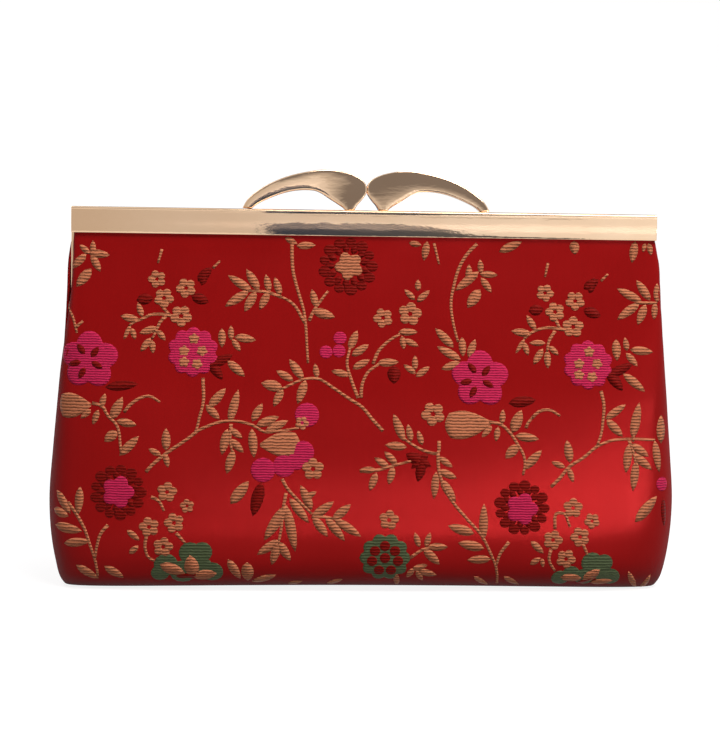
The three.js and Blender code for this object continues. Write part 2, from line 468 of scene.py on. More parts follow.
# Flower places in picture points: leaves from base to tip, with a width where it isn't the usual one
GOLD_LEAVES = (
    (93, 254, 93, 241), (90, 253, 109, 255), (92, 256, 100, 271), (89, 253, 80, 245),
    (85, 255, 73, 268), (90, 270, 77, 286, 9), (481, 272, 480, 260), (481, 274, 497, 275),
    (482, 279, 491, 292), (469, 281, 469, 265), (477, 273, 456, 290), (479, 291, 468, 307, 10),
    (142, 316, 138, 303), (138, 320, 121, 316), (130, 326, 124, 339, 4), (132, 329, 135, 339, 5),
    (156, 328, 140, 333), (158, 331, 165, 340), (150, 339, 141, 351), (152, 341, 153, 353),
    (250, 290, 229, 276), (258, 289, 247, 270), (247, 292, 226, 306), (255, 293, 245, 311),
    (268, 293, 260, 309), (269, 291, 266, 275), (280, 294, 275, 278), (222, 330, 222, 347),
    (231, 339, 231, 326), (236, 337, 255, 340), (233, 340, 240, 351), (229, 362, 244, 376),
    (210, 406, 225, 389), (230, 420, 238, 391, 8), (207, 406, 219, 419), (253, 420, 262, 404),
    (101, 407, 105, 394), (112, 418, 122, 398, 9), (90, 410, 81, 418), (98, 411, 93, 424),
    (118, 421, 136, 425), (116, 432, 105, 441, 9), (121, 454, 138, 437), (166, 449, 166, 429),
    (160, 455, 149, 449), (165, 454, 168, 467), (230, 429, 242, 438), (227, 431, 222, 454),
    (231, 440, 243, 452), (233, 452, 227, 473), (252, 431, 254, 457), (232, 502, 248, 482, 10),
    (80, 489, 78, 514), (58, 492, 70, 513), (55, 509, 68, 516, 8), (57, 525, 81, 531, 9),
    (66, 543, 89, 541), (78, 566, 98, 578), (106, 567, 123, 577), (128, 531, 139, 540),
    (130, 553, 138, 546), (229, 561, 240, 578), (247, 564, 248, 580, 11), (254, 581, 275, 575),
    (289, 583, 302, 581), (328, 583, 342, 579), (298, 246, 315, 245), (286, 238, 297, 244),
    (316, 306, 312, 290), (314, 311, 334, 317, 9), (410, 243, 421, 245), (427, 243, 424, 260),
    (418, 290, 418, 280), (414, 299, 405, 290), (418, 301, 429, 291), (400, 332, 417, 332),
    (405, 340, 418, 346), (402, 337, 404, 349), (379, 363, 398, 362), (350, 348, 357, 331),
    (353, 355, 368, 345), (354, 368, 369, 360), (348, 375, 332, 371), (302, 378, 290, 360),
    (292, 380, 277, 371), (281, 388, 262, 383, 10), (282, 390, 274, 406), (305, 382, 298, 403),
    (317, 377, 315, 364), (415, 369, 415, 356), (415, 373, 404, 365), (417, 376, 429, 367),
    (452, 346, 436, 329), (459, 359, 438, 347), (459, 363, 442, 369), (462, 339, 463, 356),
    (469, 356, 475, 340), (501, 251, 521, 242), (574, 242, 575, 254, 9), (635, 243, 632, 262),
    (649, 244, 651, 255), (645, 244, 643, 252, 4), (535, 329, 527, 316), (530, 334, 512, 331),
    (524, 343, 528, 355), (524, 340, 516, 353, 4), (544, 343, 530, 343), (550, 347, 558, 355),
    (542, 350, 534, 364), (547, 352, 548, 368), (640, 301, 618, 289), (649, 299, 637, 281),
    (638, 304, 618, 319), (645, 306, 638, 324), (657, 301, 657, 284), (655, 304, 654, 319),
    (616, 341, 617, 360, 8), (627, 350, 625, 338), (632, 350, 652, 352), (627, 354, 637, 366),
    (625, 375, 644, 391), (607, 418, 625, 405, 7), (633, 436, 639, 404, 9), (608, 421, 622, 436),
    (502, 423, 503, 410), (491, 427, 482, 437), (498, 428, 496, 441), (513, 431, 521, 411, 10),
    (517, 436, 538, 439), (517, 446, 506, 458, 9), (525, 468, 541, 451), (570, 461, 567, 441),
    (564, 467, 552, 462), (569, 469, 573, 482), (629, 446, 626, 472), (632, 445, 648, 456),
    (634, 455, 651, 469), (636, 463, 633, 490), (661, 441, 661, 416, 10), (655, 443, 659, 471),
    (637, 520, 656, 497, 10), (532, 542, 543, 553), (531, 564, 540, 558), (542, 559, 543, 567, 4),
    (483, 538, 484, 505, 8), (472, 533, 449, 526, 9), (482, 548, 459, 543, 9), (489, 559, 468, 560),
    (475, 577, 487, 584), (505, 577, 518, 584), (629, 573, 635, 586), (640, 586, 650, 575),
    (258, 425, 278, 417), (267, 431, 287, 421), (311, 508, 301, 486), (305, 498, 316, 492),
    (291, 500, 308, 522, 8), (285, 508, 265, 539, 10), (287, 509, 295, 550, 9), (278, 541, 258, 554),
    (278, 543, 272, 564), (279, 543, 290, 560), (313, 517, 333, 502), (314, 518, 327, 536),
    (327, 519, 344, 540), (334, 519, 350, 505), (336, 520, 360, 536), (419, 546, 415, 533),
    (426, 546, 430, 533), (429, 547, 447, 547), (425, 550, 439, 564), (413, 569, 427, 565),
    (419, 571, 436, 575), (417, 571, 422, 580), (413, 569, 407, 577), (396, 574, 397, 584),
    (375, 470, 360, 470), (388, 467, 375, 458), (396, 464, 385, 452), (376, 474, 370, 490),
    (393, 468, 389, 484), (403, 439, 394, 415), (411, 440, 408, 425), (422, 444, 418, 431),
    (405, 447, 386, 445), (440, 458, 452, 467), (440, 471, 456, 478), (436, 474, 434, 498, 7),
    (442, 481, 455, 501),
)

# Stems as lines of points
GOLD_STEMS = (
    ((73, 262), (68, 295), (72, 315), (77, 333)), ((76, 327), (83, 321)),
    ((172, 316), (160, 314), (150, 315), (142, 319), (134, 322), (129, 326)),
    ((166, 316), (160, 322), (157, 329), (152, 339)), ((160, 303), (165, 310), (170, 315)),
    ((281, 297), (270, 293), (258, 291), (248, 291)),
    ((305, 323), (301, 316), (295, 306), (286, 299), (281, 297)),
    ((292, 243), (292, 255), (293, 271), (298, 291), (304, 312), (306, 329), (307, 348), (308, 363)),
    ((309, 321), (313, 312), (319, 303), (328, 291)),
    ((203, 378), (203, 404), (199, 419), (197, 428), (194, 435)),
    ((124, 412), (131, 404), (140, 398), (149, 396), (160, 402)),
    ((92, 403), (102, 406), (108, 416), (116, 424), (119, 432), (120, 442), (121, 453)),
    ((146, 472), (152, 465), (159, 459), (168, 452), (180, 444), (190, 437), (199, 430), (208, 426),
     (220, 422), (235, 421), (252, 425), (265, 432), (279, 431), (299, 428)),
    ((231, 424), (230, 440), (232, 452)),
    ((68, 502), (77, 515), (85, 530), (90, 545), (95, 560), (98, 576)),
    ((108, 525), (101, 533), (97, 545), (95, 558)), ((151, 497), (158, 500), (164, 511)),
    ((176, 533), (185, 543)), ((147, 533), (145, 548), (149, 558), (155, 561)),
    ((373, 364), (378, 352), (386, 343), (400, 334)), ((361, 398), (362, 385), (368, 372), (379, 364)),
    ((358, 398), (351, 379), (347, 364), (350, 348)),
    ((383, 431), (372, 419), (363, 408), (348, 398), (332, 387), (319, 379), (305, 379), (292, 384),
     (280, 390)), ((477, 244), (468, 253), (459, 268), (454, 285), (451, 302), (453, 322), (458, 342)),
    ((556, 320), (561, 329), (566, 330)), ((566, 330), (544, 328), (531, 333), (524, 339)),
    ((555, 331), (549, 341), (547, 352)), ((636, 303), (657, 303)),
    ((601, 391), (604, 406), (603, 420), (601, 435), (597, 446)),
    ((532, 418), (540, 411), (550, 410), (560, 416)), ((526, 428), (528, 423), (532, 418)),
    ((489, 422), (500, 424), (511, 434), (518, 445), (524, 456), (525, 464), (523, 475)),
    ((551, 487), (560, 478), (569, 467), (583, 458), (598, 446), (610, 441), (627, 439), (655, 440)),
    ((629, 440), (634, 455), (636, 465)), ((555, 529), (557, 513), (563, 513), (570, 527)),
    ((583, 544), (588, 556)), ((551, 549), (549, 560), (555, 571)),
    ((438, 452), (439, 471), (442, 482), (450, 498), (467, 519), (482, 536), (490, 552), (496, 567),
     (497, 583)), ((509, 542), (500, 554), (496, 566)),
    ((360, 471), (378, 470), (392, 466), (411, 461)),
    ((439, 441), (438, 453), (425, 451), (413, 445), (402, 437)),
    ((282, 479), (287, 488), (296, 498), (312, 514)), ((286, 493), (283, 510), (281, 530), (278, 545)),
    ((313, 517), (325, 517), (338, 520)), ((410, 558), (424, 549), (431, 547)),
    ((634, 431), (633, 442)),
)
SHORT_STEMS = (
    ((162, 249), (158, 263)), ((213, 268), (220, 261)), ((548, 263), (545, 277)),
    ((601, 281), (608, 274)), ((434, 243), (439, 264)),
)

# Round flowers and petals as middle and radius, and what lies on a flower as steps from its middle
GOLD_BLOSSOMS = (
    (157, 279, 9), (164, 298, 10), (186, 288, 10), (181, 316, 11), (545, 293, 9), (555, 312, 10),
    (575, 301, 10), (573, 327, 11), (383, 318, 10), (410, 314, 12), (313, 469, 11), (433, 414, 12),
    (167, 492, 10), (187, 506, 7), (174, 523, 10), (149, 527, 10), (163, 547, 10), (573, 508, 10),
    (592, 521, 8), (580, 537, 10), (553, 540, 10), (566, 559, 10), (389, 520, 10), (302, 423, 7),
)
PINK_SLIT_FLOWERS = ((89, 360, 29), (480, 379, 29))
PINK_DOT_FLOWERS = ((193, 352, 25), (588, 365, 25))
PINK_HEARTS = ((118, 492, 16), (522, 509, 16))
PINK_PETALS = (
    (263, 470, 12), (284, 466, 11), (303, 452, 11), (296, 461, 9), (307, 415, 12), (340, 338, 6.5),
    (326, 352, 6.5), (339, 351, 6.5), (662, 484, 7),
)
GOLD_HEARTS = ((349, 266, 14.5),)
MAROON_RINGS = ((348, 266, 30), (118, 492, 28), (522, 508, 28))
MAROON_LEAVES = (
    (199, 280, 211, 268, 9), (202, 284, 206, 270, 7), (193, 296, 208, 302, 10),
    (138, 300, 153, 298, 10), (585, 288, 598, 280, 9), (590, 292, 594, 278, 7),
    (585, 310, 600, 316, 10), (530, 311, 543, 309, 10), (210, 366, 232, 355, 9),
    (210, 362, 222, 379, 9), (608, 376, 632, 364, 9), (608, 372, 622, 390, 10), (108, 387, 137, 384, 9),
    (511, 403, 535, 400, 10), (261, 485, 253, 515, 11), (394, 367, 394, 383, 12),
    (408, 455, 430, 466, 11), (423, 460, 418, 481, 9), (427, 455, 412, 468, 8), (663, 500, 664, 525, 6),
)
MAROON_SLITS = ((-8, -11), (6, -8), (-14, 3), (8, 5), (-7, 13))
GOLD_DOTS = ((1, -13), (-9, -1), (9, -1), (-9, 10), (4, 12))
GREEN_LOBES = (
    (190, 553, 11), (202, 552, 10), (166, 565, 12), (160, 573, 9), (212, 572, 11), (183, 572, 13),
    (203, 566, 9), (592, 563, 11), (604, 563, 9), (571, 574, 9), (560, 578, 9), (610, 577, 10),
    (584, 577, 10), (600, 573, 8),
)
GREEN_FLOWERS = ((385, 558, 25),)
GREEN_FLOWER_GOLD = (
    (162, 565, 184, 573, 11), (195, 576, 216, 573, 11), (193, 574, 190, 556, 13),
    (562, 577, 581, 578, 9), (584, 579, 599, 570, 10), (592, 582, 612, 580, 7),
)
GREEN_FLOWER_DARK = ((177, 576, 199, 575, 11), (578, 582, 592, 578, 6))
GREEN_FLOWER_MAROON = ((0, -12), (10, -7), (13, 3), (6, 12), (-6, 12), (-13, 3), (-10, -7), (0, 0))
CALYXES = ((91, 405, 60, 405, 25), (491, 423, 445, 426, 28), (260, 445, 300, 444, 25))

# Widths in picture points, and how leaves and stems taper
LEAF_STEPS = 6
LEAF_GROWTH = 0.1
LEAF_PLUMP = 1.1
LEAF_WIDTH_SHARE = 0.4
LEAF_LEAST, LEAF_MOST = 5.5, 8.0
LEAF_FULLNESS = 0.72
LEAF_TAPER = 0.15
STEM_WIDTH = 3.4
SHORT_STEM_WIDTH = 2.8
STEM_TAPER = 0.3
STEM_STEP = 1.3 * MM
SLIT_HALF = 6.5
SLIT_WIDTH = 6.5
DOT_RADIUS = 5.5
BEAD_RADIUS = 5.2

# Turns of round flowers
PINK_TURN = -0.3
GOLD_HEART_TURN = 0.5
BLOSSOM_TURN = 0.3

# Petals and stitches as shares of their flower's radius
BLOSSOM_PETALS = 5
BLOSSOM_REACH, BLOSSOM_PETAL = 0.58, 0.42
RING_PETALS = 13
RING_REACH, RING_PETAL = 0.79, 0.19
RING_UNEVEN = 0.12
RING_SQUASH = 0.9
STITCH_FROM, STITCH_TO, STITCH_WIDTH = 0.42, 0.76, 0.22

# Heights in thread rises: a patch's back and rim, its fall from the ridge, and lifts over other threads
PATCH_BACK = -0.6
RIM = 0.3
RIDGE_FALL = 0.7
ON_TOP = 0.8
UNDER_TOP = 0.5
STITCH_LIFT = 0.3
PETAL_LIFT, PETAL_LIFT_STEP = 0.2, 0.05

# The fan of a calyx
CALYX_STEPS = 8
CALYX_SWELL, CALYX_START = 0.62, 0.12
CALYX_SCALLOP = 0.22
CALYX_FLAT = 0.9

# Flat measures are mapped in centimetres
PER_METRE = 100


def closed_patch(bm):
    """Gives a flat patch a back, so that it is a closed thin solid, and keeps it as a mesh."""
    close_back(bm, PATCH_BACK)
    mesh = bpy.data.meshes.new("patch")
    bm.to_mesh(mesh)
    bm.free()
    return mesh


def leaf_form():
    """A lens-shaped patch from -1 to 1, raised along its middle."""
    bm = bmesh.new()
    bmesh.ops.create_grid(bm, x_segments=LEAF_STEPS, y_segments=2, size=1)
    for vert in bm.verts:
        vert.co.z = 1.0 - RIDGE_FALL * abs(vert.co.y)
        vert.co.y *= max(1 - vert.co.x**2, 0) ** LEAF_FULLNESS * (1 - LEAF_TAPER * vert.co.x)
        if abs(vert.co.x) > 0.99:
            vert.co.z = RIM
    bmesh.ops.remove_doubles(bm, verts=bm.verts, dist=1e-4)
    return closed_patch(bm)


def round_form(lobes, notch, steps, rings=((0.08, 0.85), (0.27, 1.0), (0.3, 1.0))):
    """A round patch with a lobed outline, raised inside its rim, ring by ring."""
    bm = bmesh.new()
    bmesh.ops.create_circle(bm, cap_ends=True, segments=steps, radius=1)
    bm.faces.ensure_lookup_table()
    heart = bm.faces[0]
    for vert in heart.verts:
        vert.co.z = RIM
    for share, rise in rings:
        bmesh.ops.inset_region(bm, faces=[heart], thickness=share, use_boundary=True, use_even_offset=True)
        for vert in heart.verts:
            vert.co.z = rise
    bmesh.ops.poke(bm, faces=[heart])
    for vert in bm.verts:
        angle = math.atan2(vert.co.y, vert.co.x)
        reach = 1 - notch * (1 - abs(math.cos(lobes * angle / 2)))
        vert.co.x *= reach
        vert.co.y *= reach
    return closed_patch(bm)


def stem_form(steps):
    """A long strip from -1 to 1, raised along its middle."""
    bm = bmesh.new()
    bmesh.ops.create_grid(bm, x_segments=steps, y_segments=2, size=1)
    for vert in bm.verts:
        vert.co.z = 1.0 - RIDGE_FALL * abs(vert.co.y)
    return closed_patch(bm)


def calyx_form():
    """A fan-shaped patch, narrow at -1 and scalloped at 1."""
    bm = bmesh.new()
    bmesh.ops.create_grid(bm, x_segments=CALYX_STEPS, y_segments=CALYX_STEPS, size=1)
    for vert in bm.verts:
        x, y = vert.co.x, vert.co.y
        rim = max(abs(y), abs(x))
        swell = math.sin((x + 1) / 2 * math.pi * CALYX_SWELL + CALYX_START)
        vert.co.y = y * swell
        vert.co.x = x - CALYX_SCALLOP * y * y * (x + 1) / 2
        vert.co.z = 1.0 if rim < CALYX_FLAT else RIM
    return closed_patch(bm)


class FlowerSet:
    """The flowers of one thread colour, drawn flat and then laid on the cloth."""

    def __init__(self, name, material):
        self.name = name
        self.material = material
        self.bm = bmesh.new()

    def add(self, patch, bend, lift=0.0):
        """Adds a patch, each of its points moved by bend, raised by lift times the thread's rise."""
        start = len(self.bm.verts)
        self.bm.from_mesh(patch)
        self.bm.verts.ensure_lookup_table()
        for vert in self.bm.verts[start:]:
            u, v = bend(vert.co.x, vert.co.y)
            vert.co = (u, v, vert.co.z + lift)

    def leaf(self, patch, base, tip, width, lift=0.0):
        """Adds a long patch from base to tip."""
        middle = (base + tip) / 2
        along = (tip - base) / 2
        size = np.linalg.norm(along)
        beside = np.array([-along[1], along[0]]) / size * width / 2
        self.add(patch, lambda x, y: middle + along * x + beside * y, lift)

    def round(self, patch, middle, radius, turn=0.0, squash=1.0, lift=0.0):
        """Adds a round patch."""
        c, s = math.cos(turn), math.sin(turn)

        def placed(x, y):
            return middle + radius * np.array([x * c - y * s, (x * s + y * c) * squash])

        self.add(patch, placed, lift)

    def stem(self, points, width):
        """Adds a stem along points, a little thinner at its far end."""
        line = soft_path(points)
        steps = len(line) - 1
        slope = np.gradient(line, axis=0)
        slope /= np.linalg.norm(slope, axis=1, keepdims=True)

        def along_line(x, y):
            at = int(round((x + 1) / 2 * steps))
            beside = np.array([-slope[at][1], slope[at][0]])
            return line[at] + beside * y * width / 2 * (1 - STEM_TAPER * at / steps)

        self.add(stem_form(steps), along_line)

    def laid(self):
        """Lays the flat flowers on the front cloth as one piece."""
        flat = np.array([vert.co for vert in self.bm.verts])
        across, down = form().shares_from_flat(flat[:, 0], flat[:, 1])
        places = form().place(across, down, flat[:, 2] * wallet().wallet_cloth.thread_rise)
        cloth_map = self.bm.loops.layers.uv.new("cloth")
        for face in self.bm.faces:
            for loop in face.loops:
                loop[cloth_map].uv = (loop.vert.co.x * PER_METRE, -loop.vert.co.y * PER_METRE)
        for vert, place in zip(self.bm.verts, places):
            vert.co = place
        bmesh.ops.recalc_face_normals(self.bm, faces=self.bm.faces)
        return new_object(self.name, self.bm, self.material)


def soft_path(points):
    """A smooth close-set line through flat points."""
    points = np.array(points)
    length = np.concatenate(([0], np.cumsum(np.linalg.norm(np.diff(points, axis=0), axis=1))))
    steps = max(4, int(length[-1] / STEM_STEP))
    at = np.linspace(0, length[-1], steps + 1)
    if len(points) < 3:
        return np.stack([np.interp(at, length, points[:, axis]) for axis in (0, 1)], axis=1)
    return np.stack([eased(at, length, points[:, axis]) for axis in (0, 1)], axis=1)


# Flower threads: grain of their breaks and strands, and how uneven the dye is
RIB_WANDER = 0.7
BREAK_GRAIN = (5.0, 16.0, 1.0)
GAP_EDGE = 6.0
STRAND_GRAIN = (60.0, 18.0, 1.0)
STRAND_RISE = 0.35
DYE_LOW, DYE_SPREAD = 0.76, 0.5
THREAD_ROUGHNESS = 0.5
THREAD_GLOSS = 0.3
THREAD_DEPTH, THREAD_BUMP = 0.15 * MM, 0.7

# Satin: its weave, its shading and its gloss, which falls off where the cloth turns away
FLOAT_SLANT = 0.4
WARP_GRAIN = (9.0, 0.9, 1.0)
SATIN_LOW = 0.78
STREAK_SHADE, BROAD_SHADE, FINE_SHADE = 0.10, 0.22, 0.12
WAVE_RISE, FINE_RISE = 0.3, 0.8
WEAVE_DEPTH, WEAVE_BUMP = 0.04 * MM, 0.35
GLOSS_FALL = 4.0
GLOSS_TINT = (1.0, 0.05, 0.05, 1)
SHEEN = 0.05
SHEEN_ROUGHNESS = 0.4
SHEEN_TINT = (1.0, 0.10, 0.12, 1)
GROUND_ROUGHNESS, GROUND_FLOATS = 0.2, 26.0
LINING_ROUGHNESS, LINING_FLOATS = 0.5, 34.0

# Metal: rubbing marks along the bar, soft waves of the pressing and worn plating
RUBBED_GRAIN = (90.0, 900.0, 2600.0)
WAVY_GRAIN = (110.0, 260.0, 330.0)
METAL_ROUGHNESS = 0.02
RUBBED_ROUGHNESS, CLOUD_ROUGHNESS = 0.05, 0.03
WORN_SHARES = (0.92, 0.86, 0.80)
RUBBED_RISE = 0.03
METAL_DEPTH, METAL_BUMP = 0.07 * MM, 0.7


# Materials
def blank_material(name):
    """A material with only a Principled shader and its output."""
    material = bpy.data.materials.new(name)
    material.use_nodes = True
    nodes = material.node_tree.nodes
    nodes.clear()
    shader = nodes.new("ShaderNodeBsdfPrincipled")
    out = nodes.new("ShaderNodeOutputMaterial")
    material.node_tree.links.new(shader.outputs["BSDF"], out.inputs["Surface"])
    return material, material.node_tree, shader


def feed(tree, socket, value):
    """Puts a link, a number or a colour on a socket."""
    if isinstance(value, bpy.types.NodeSocket):
        tree.links.new(value, socket)
    elif isinstance(value, (int, float)):
        socket.default_value = value
    else:
        socket.default_value = (*value, 1)


def math_node(tree, operation, first, second=None, third=None):
    """A Math node with links or plain numbers on its inputs."""
    node = tree.nodes.new("ShaderNodeMath")
    node.operation = operation
    for socket, value in zip(node.inputs, (first, second, third)):
        if value is not None:
            feed(tree, socket, value)
    return node.outputs[0]


def noise_node(tree, vector, scale, detail=2.0, roughness=0.5):
    """A noise texture's value."""
    node = tree.nodes.new("ShaderNodeTexNoise")
    set_inputs(node, {"Scale": scale, "Detail": detail, "Roughness": roughness})
    tree.links.new(vector, node.inputs["Vector"])
    return node.outputs["Fac"]


def stretched(tree, vector, scale):
    """A vector with its axes scaled."""
    node = tree.nodes.new("ShaderNodeMapping")
    node.inputs["Scale"].default_value = scale
    tree.links.new(vector, node.inputs["Vector"])
    return node.outputs["Vector"]


def mix_colour(tree, share, first, second, blend="MIX"):
    """A mix of two colours, each a link or a plain colour."""
    node = tree.nodes.new("ShaderNodeMix")
    node.data_type = "RGBA"
    node.blend_type = blend
    feed(tree, node.inputs["Factor"], share)
    feed(tree, node.inputs[6], first)
    feed(tree, node.inputs[7], second)
    return node.outputs[2]


def shaded(tree, colour, share):
    """A colour made lighter or darker by a share round 1."""
    grey = tree.nodes.new("ShaderNodeCombineColor")
    for socket in grey.inputs[:3]:
        tree.links.new(share, socket)
    return mix_colour(tree, 1, colour, grey.outputs[0], "MULTIPLY")


def split(tree, vector):
    """The three parts of a vector."""
    node = tree.nodes.new("ShaderNodeSeparateXYZ")
    tree.links.new(vector, node.inputs[0])
    return node.outputs


def set_inputs(node, values):
    """Puts plain values on a node's inputs."""
    for label, value in values.items():
        node.inputs[label].default_value = value


def bumped(tree, shader, height, distance, strength):
    """Puts a bump on a shader."""
    node = tree.nodes.new("ShaderNodeBump")
    set_inputs(node, {"Distance": distance, "Strength": strength})
    tree.links.new(height, node.inputs["Height"])
    tree.links.new(node.outputs["Normal"], shader.inputs["Normal"])


def new_group(name, sockets_in, sockets_out):
    """A shader node group with named sockets; returns it with its two ends."""
    group = bpy.data.node_groups.new(name, "ShaderNodeTree")
    for label, kind, value in sockets_in:
        socket = group.interface.new_socket(label, in_out="INPUT", socket_type=kind)
        if value is not None:
            socket.default_value = value
    for label in sockets_out:
        group.interface.new_socket(label, in_out="OUTPUT", socket_type="NodeSocketFloat")
    return group, group.nodes.new("NodeGroupInput"), group.nodes.new("NodeGroupOutput")


def thread_group():
    """Woven flower threads: ribs along the cloth, gaps between them and uneven dye."""
    if "Flower threads" in bpy.data.node_groups:
        return bpy.data.node_groups["Flower threads"]
    group, start, end = new_group(
        "Flower threads",
        (
            ("Cloth", "NodeSocketVector", None),
            ("Ribs per cm", "NodeSocketFloat", 11.0),
            ("Openness", "NodeSocketFloat", 0.9),
        ),
        ("Gap", "Height", "Dye"),
    )
    cloth = start.outputs["Cloth"]
    parts = split(group, cloth)
    wander = noise_node(group, cloth, scale=5.0)
    rib = math_node(group, "MULTIPLY", parts["Y"], start.outputs["Ribs per cm"])
    rib = math_node(group, "MULTIPLY_ADD", wander, RIB_WANDER, rib)
    wave = math_node(group, "SINE", math_node(group, "MULTIPLY", rib, 2 * math.pi))
    ridge = math_node(group, "MULTIPLY_ADD", wave, 0.5, 0.5)
    breaks = noise_node(group, stretched(group, cloth, BREAK_GRAIN), scale=1.6)
    breaks = math_node(group, "POWER", breaks, 2.0)
    opening = math_node(group, "MULTIPLY", breaks, start.outputs["Openness"])
    gap = math_node(group, "MULTIPLY", math_node(group, "SUBTRACT", opening, ridge), GAP_EDGE)
    gap = math_node(group, "MINIMUM", math_node(group, "MAXIMUM", gap, 0.0), 1.0)
    strand = noise_node(group, stretched(group, cloth, STRAND_GRAIN), scale=1.0, detail=1.0)
    height = math_node(group, "MULTIPLY_ADD", strand, STRAND_RISE, math_node(group, "SUBTRACT", ridge, gap))
    patches = noise_node(group, cloth, scale=14.0, detail=3.0)
    dye = math_node(group, "MULTIPLY_ADD", patches, DYE_SPREAD, DYE_LOW)
    for value, label in ((gap, "Gap"), (height, "Height"), (dye, "Dye")):
        group.links.new(value, end.inputs[label])
    return group


def weave_group():
    """Satin weave: fine slanted floats, long warp streaks and broad uneven dye."""
    if "Satin weave" in bpy.data.node_groups:
        return bpy.data.node_groups["Satin weave"]
    group, start, end = new_group(
        "Satin weave",
        (("Cloth", "NodeSocketVector", None), ("Floats per cm", "NodeSocketFloat", 26.0)),
        ("Shade", "Height"),
    )
    cloth = start.outputs["Cloth"]
    parts = split(group, cloth)
    slant = math_node(group, "MULTIPLY_ADD", parts["Y"], FLOAT_SLANT, parts["X"])
    slant = math_node(group, "MULTIPLY", slant, start.outputs["Floats per cm"])
    wave = math_node(group, "SINE", math_node(group, "MULTIPLY", slant, 2 * math.pi))
    streak = noise_node(group, stretched(group, cloth, WARP_GRAIN), scale=1.0, detail=3.0)
    broad = noise_node(group, cloth, scale=0.45)
    fine = noise_node(group, cloth, scale=38.0)
    shade = math_node(group, "MULTIPLY_ADD", streak, STREAK_SHADE, SATIN_LOW)
    shade = math_node(group, "MULTIPLY_ADD", broad, BROAD_SHADE, shade)
    shade = math_node(group, "MULTIPLY_ADD", fine, FINE_SHADE, shade)
    nap = math_node(group, "MULTIPLY", fine, FINE_RISE)
    height = math_node(group, "MULTIPLY_ADD", wave, WAVE_RISE, nap)
    group.links.new(shade, end.inputs["Shade"])
    group.links.new(height, end.inputs["Height"])
    return group


def cloth_vector(tree):
    """The cloth's own flat measures in centimetres."""
    node = tree.nodes.new("ShaderNodeUVMap")
    node.uv_map = "cloth"
    return node.outputs["UV"]


def placed_group(tree, group, **values):
    """Places a node group and sets its inputs."""
    node = tree.nodes.new("ShaderNodeGroup")
    node.node_tree = group
    tree.links.new(cloth_vector(tree), node.inputs["Cloth"])
    for label, value in values.items():
        node.inputs[label.replace("_", " ")].default_value = value
    return node.outputs


def satin_material(name, colour, roughness, floats):
    """Satin cloth whose gloss and sheen take the cloth's own colour."""
    material, tree, shader = blank_material(name)
    weave = placed_group(tree, weave_group(), Floats_per_cm=floats)
    tree.links.new(shaded(tree, colour, weave["Shade"]), shader.inputs["Base Color"])
    edge = tree.nodes.new("ShaderNodeLayerWeight")
    edge.inputs["Blend"].default_value = 0.5
    facing = math_node(tree, "SUBTRACT", 1.0, edge.outputs["Facing"])
    gloss = math_node(tree, "POWER", facing, GLOSS_FALL)
    tree.links.new(gloss, shader.inputs["Specular IOR Level"])
    set_inputs(shader, {
        "Roughness": roughness,
        "Specular Tint": GLOSS_TINT,
        "Sheen Weight": SHEEN,
        "Sheen Roughness": SHEEN_ROUGHNESS,
        "Sheen Tint": SHEEN_TINT,
    })
    bumped(tree, shader, weave["Height"], WEAVE_DEPTH, WEAVE_BUMP)
    return material


def thread_material(name, colour, gap_shade, ribs, openness):
    """Raised flower thread with thin dark lines between its ribs."""
    material, tree, shader = blank_material(name)
    threads = placed_group(tree, thread_group(), Ribs_per_cm=ribs, Openness=openness)
    woven = mix_colour(tree, threads["Gap"], colour, tuple(value * gap_shade for value in colour))
    tree.links.new(shaded(tree, woven, threads["Dye"]), shader.inputs["Base Color"])
    set_inputs(shader, {
        "Roughness": THREAD_ROUGHNESS,
        "Specular IOR Level": THREAD_GLOSS,
        "Specular Tint": (*(value / max(colour) for value in colour), 1),
    })
    bumped(tree, shader, threads["Height"], THREAD_DEPTH, THREAD_BUMP)
    return material


def metal_material():
    """Polished pale gold plating with fine rubbing marks."""
    if "gold_metal_finish" in bpy.data.materials:
        return bpy.data.materials["gold_metal_finish"]
    material, tree, shader = blank_material("gold_metal_finish")
    coords = tree.nodes.new("ShaderNodeTexCoord").outputs["Object"]
    rubbed = noise_node(tree, stretched(tree, coords, RUBBED_GRAIN), scale=1.0, detail=4.0, roughness=0.6)
    cloud = noise_node(tree, coords, scale=55.0, detail=3.0)
    rough = math_node(tree, "MULTIPLY_ADD", rubbed, RUBBED_ROUGHNESS, METAL_ROUGHNESS)
    rough = math_node(tree, "MULTIPLY_ADD", cloud, CLOUD_ROUGHNESS, rough)
    tree.links.new(rough, shader.inputs["Roughness"])
    metal = wallet().wallet_colours.metal
    worn = [value * share for value, share in zip(metal, WORN_SHARES)]
    tree.links.new(mix_colour(tree, cloud, worn, metal), shader.inputs["Base Color"])
    shader.inputs["Metallic"].default_value = 1.0
    wavy = noise_node(tree, stretched(tree, coords, WAVY_GRAIN), scale=1.0, detail=3.0, roughness=0.55)
    height = math_node(tree, "MULTIPLY_ADD", rubbed, RUBBED_RISE, wavy)
    bumped(tree, shader, height, METAL_DEPTH, METAL_BUMP)
    return material


# The panels: the lining lies behind the brocade on every second line of the net
LINING_GAP = 0.35 * MM
BROCADE_STEP = 1
LINING_STEP = 2


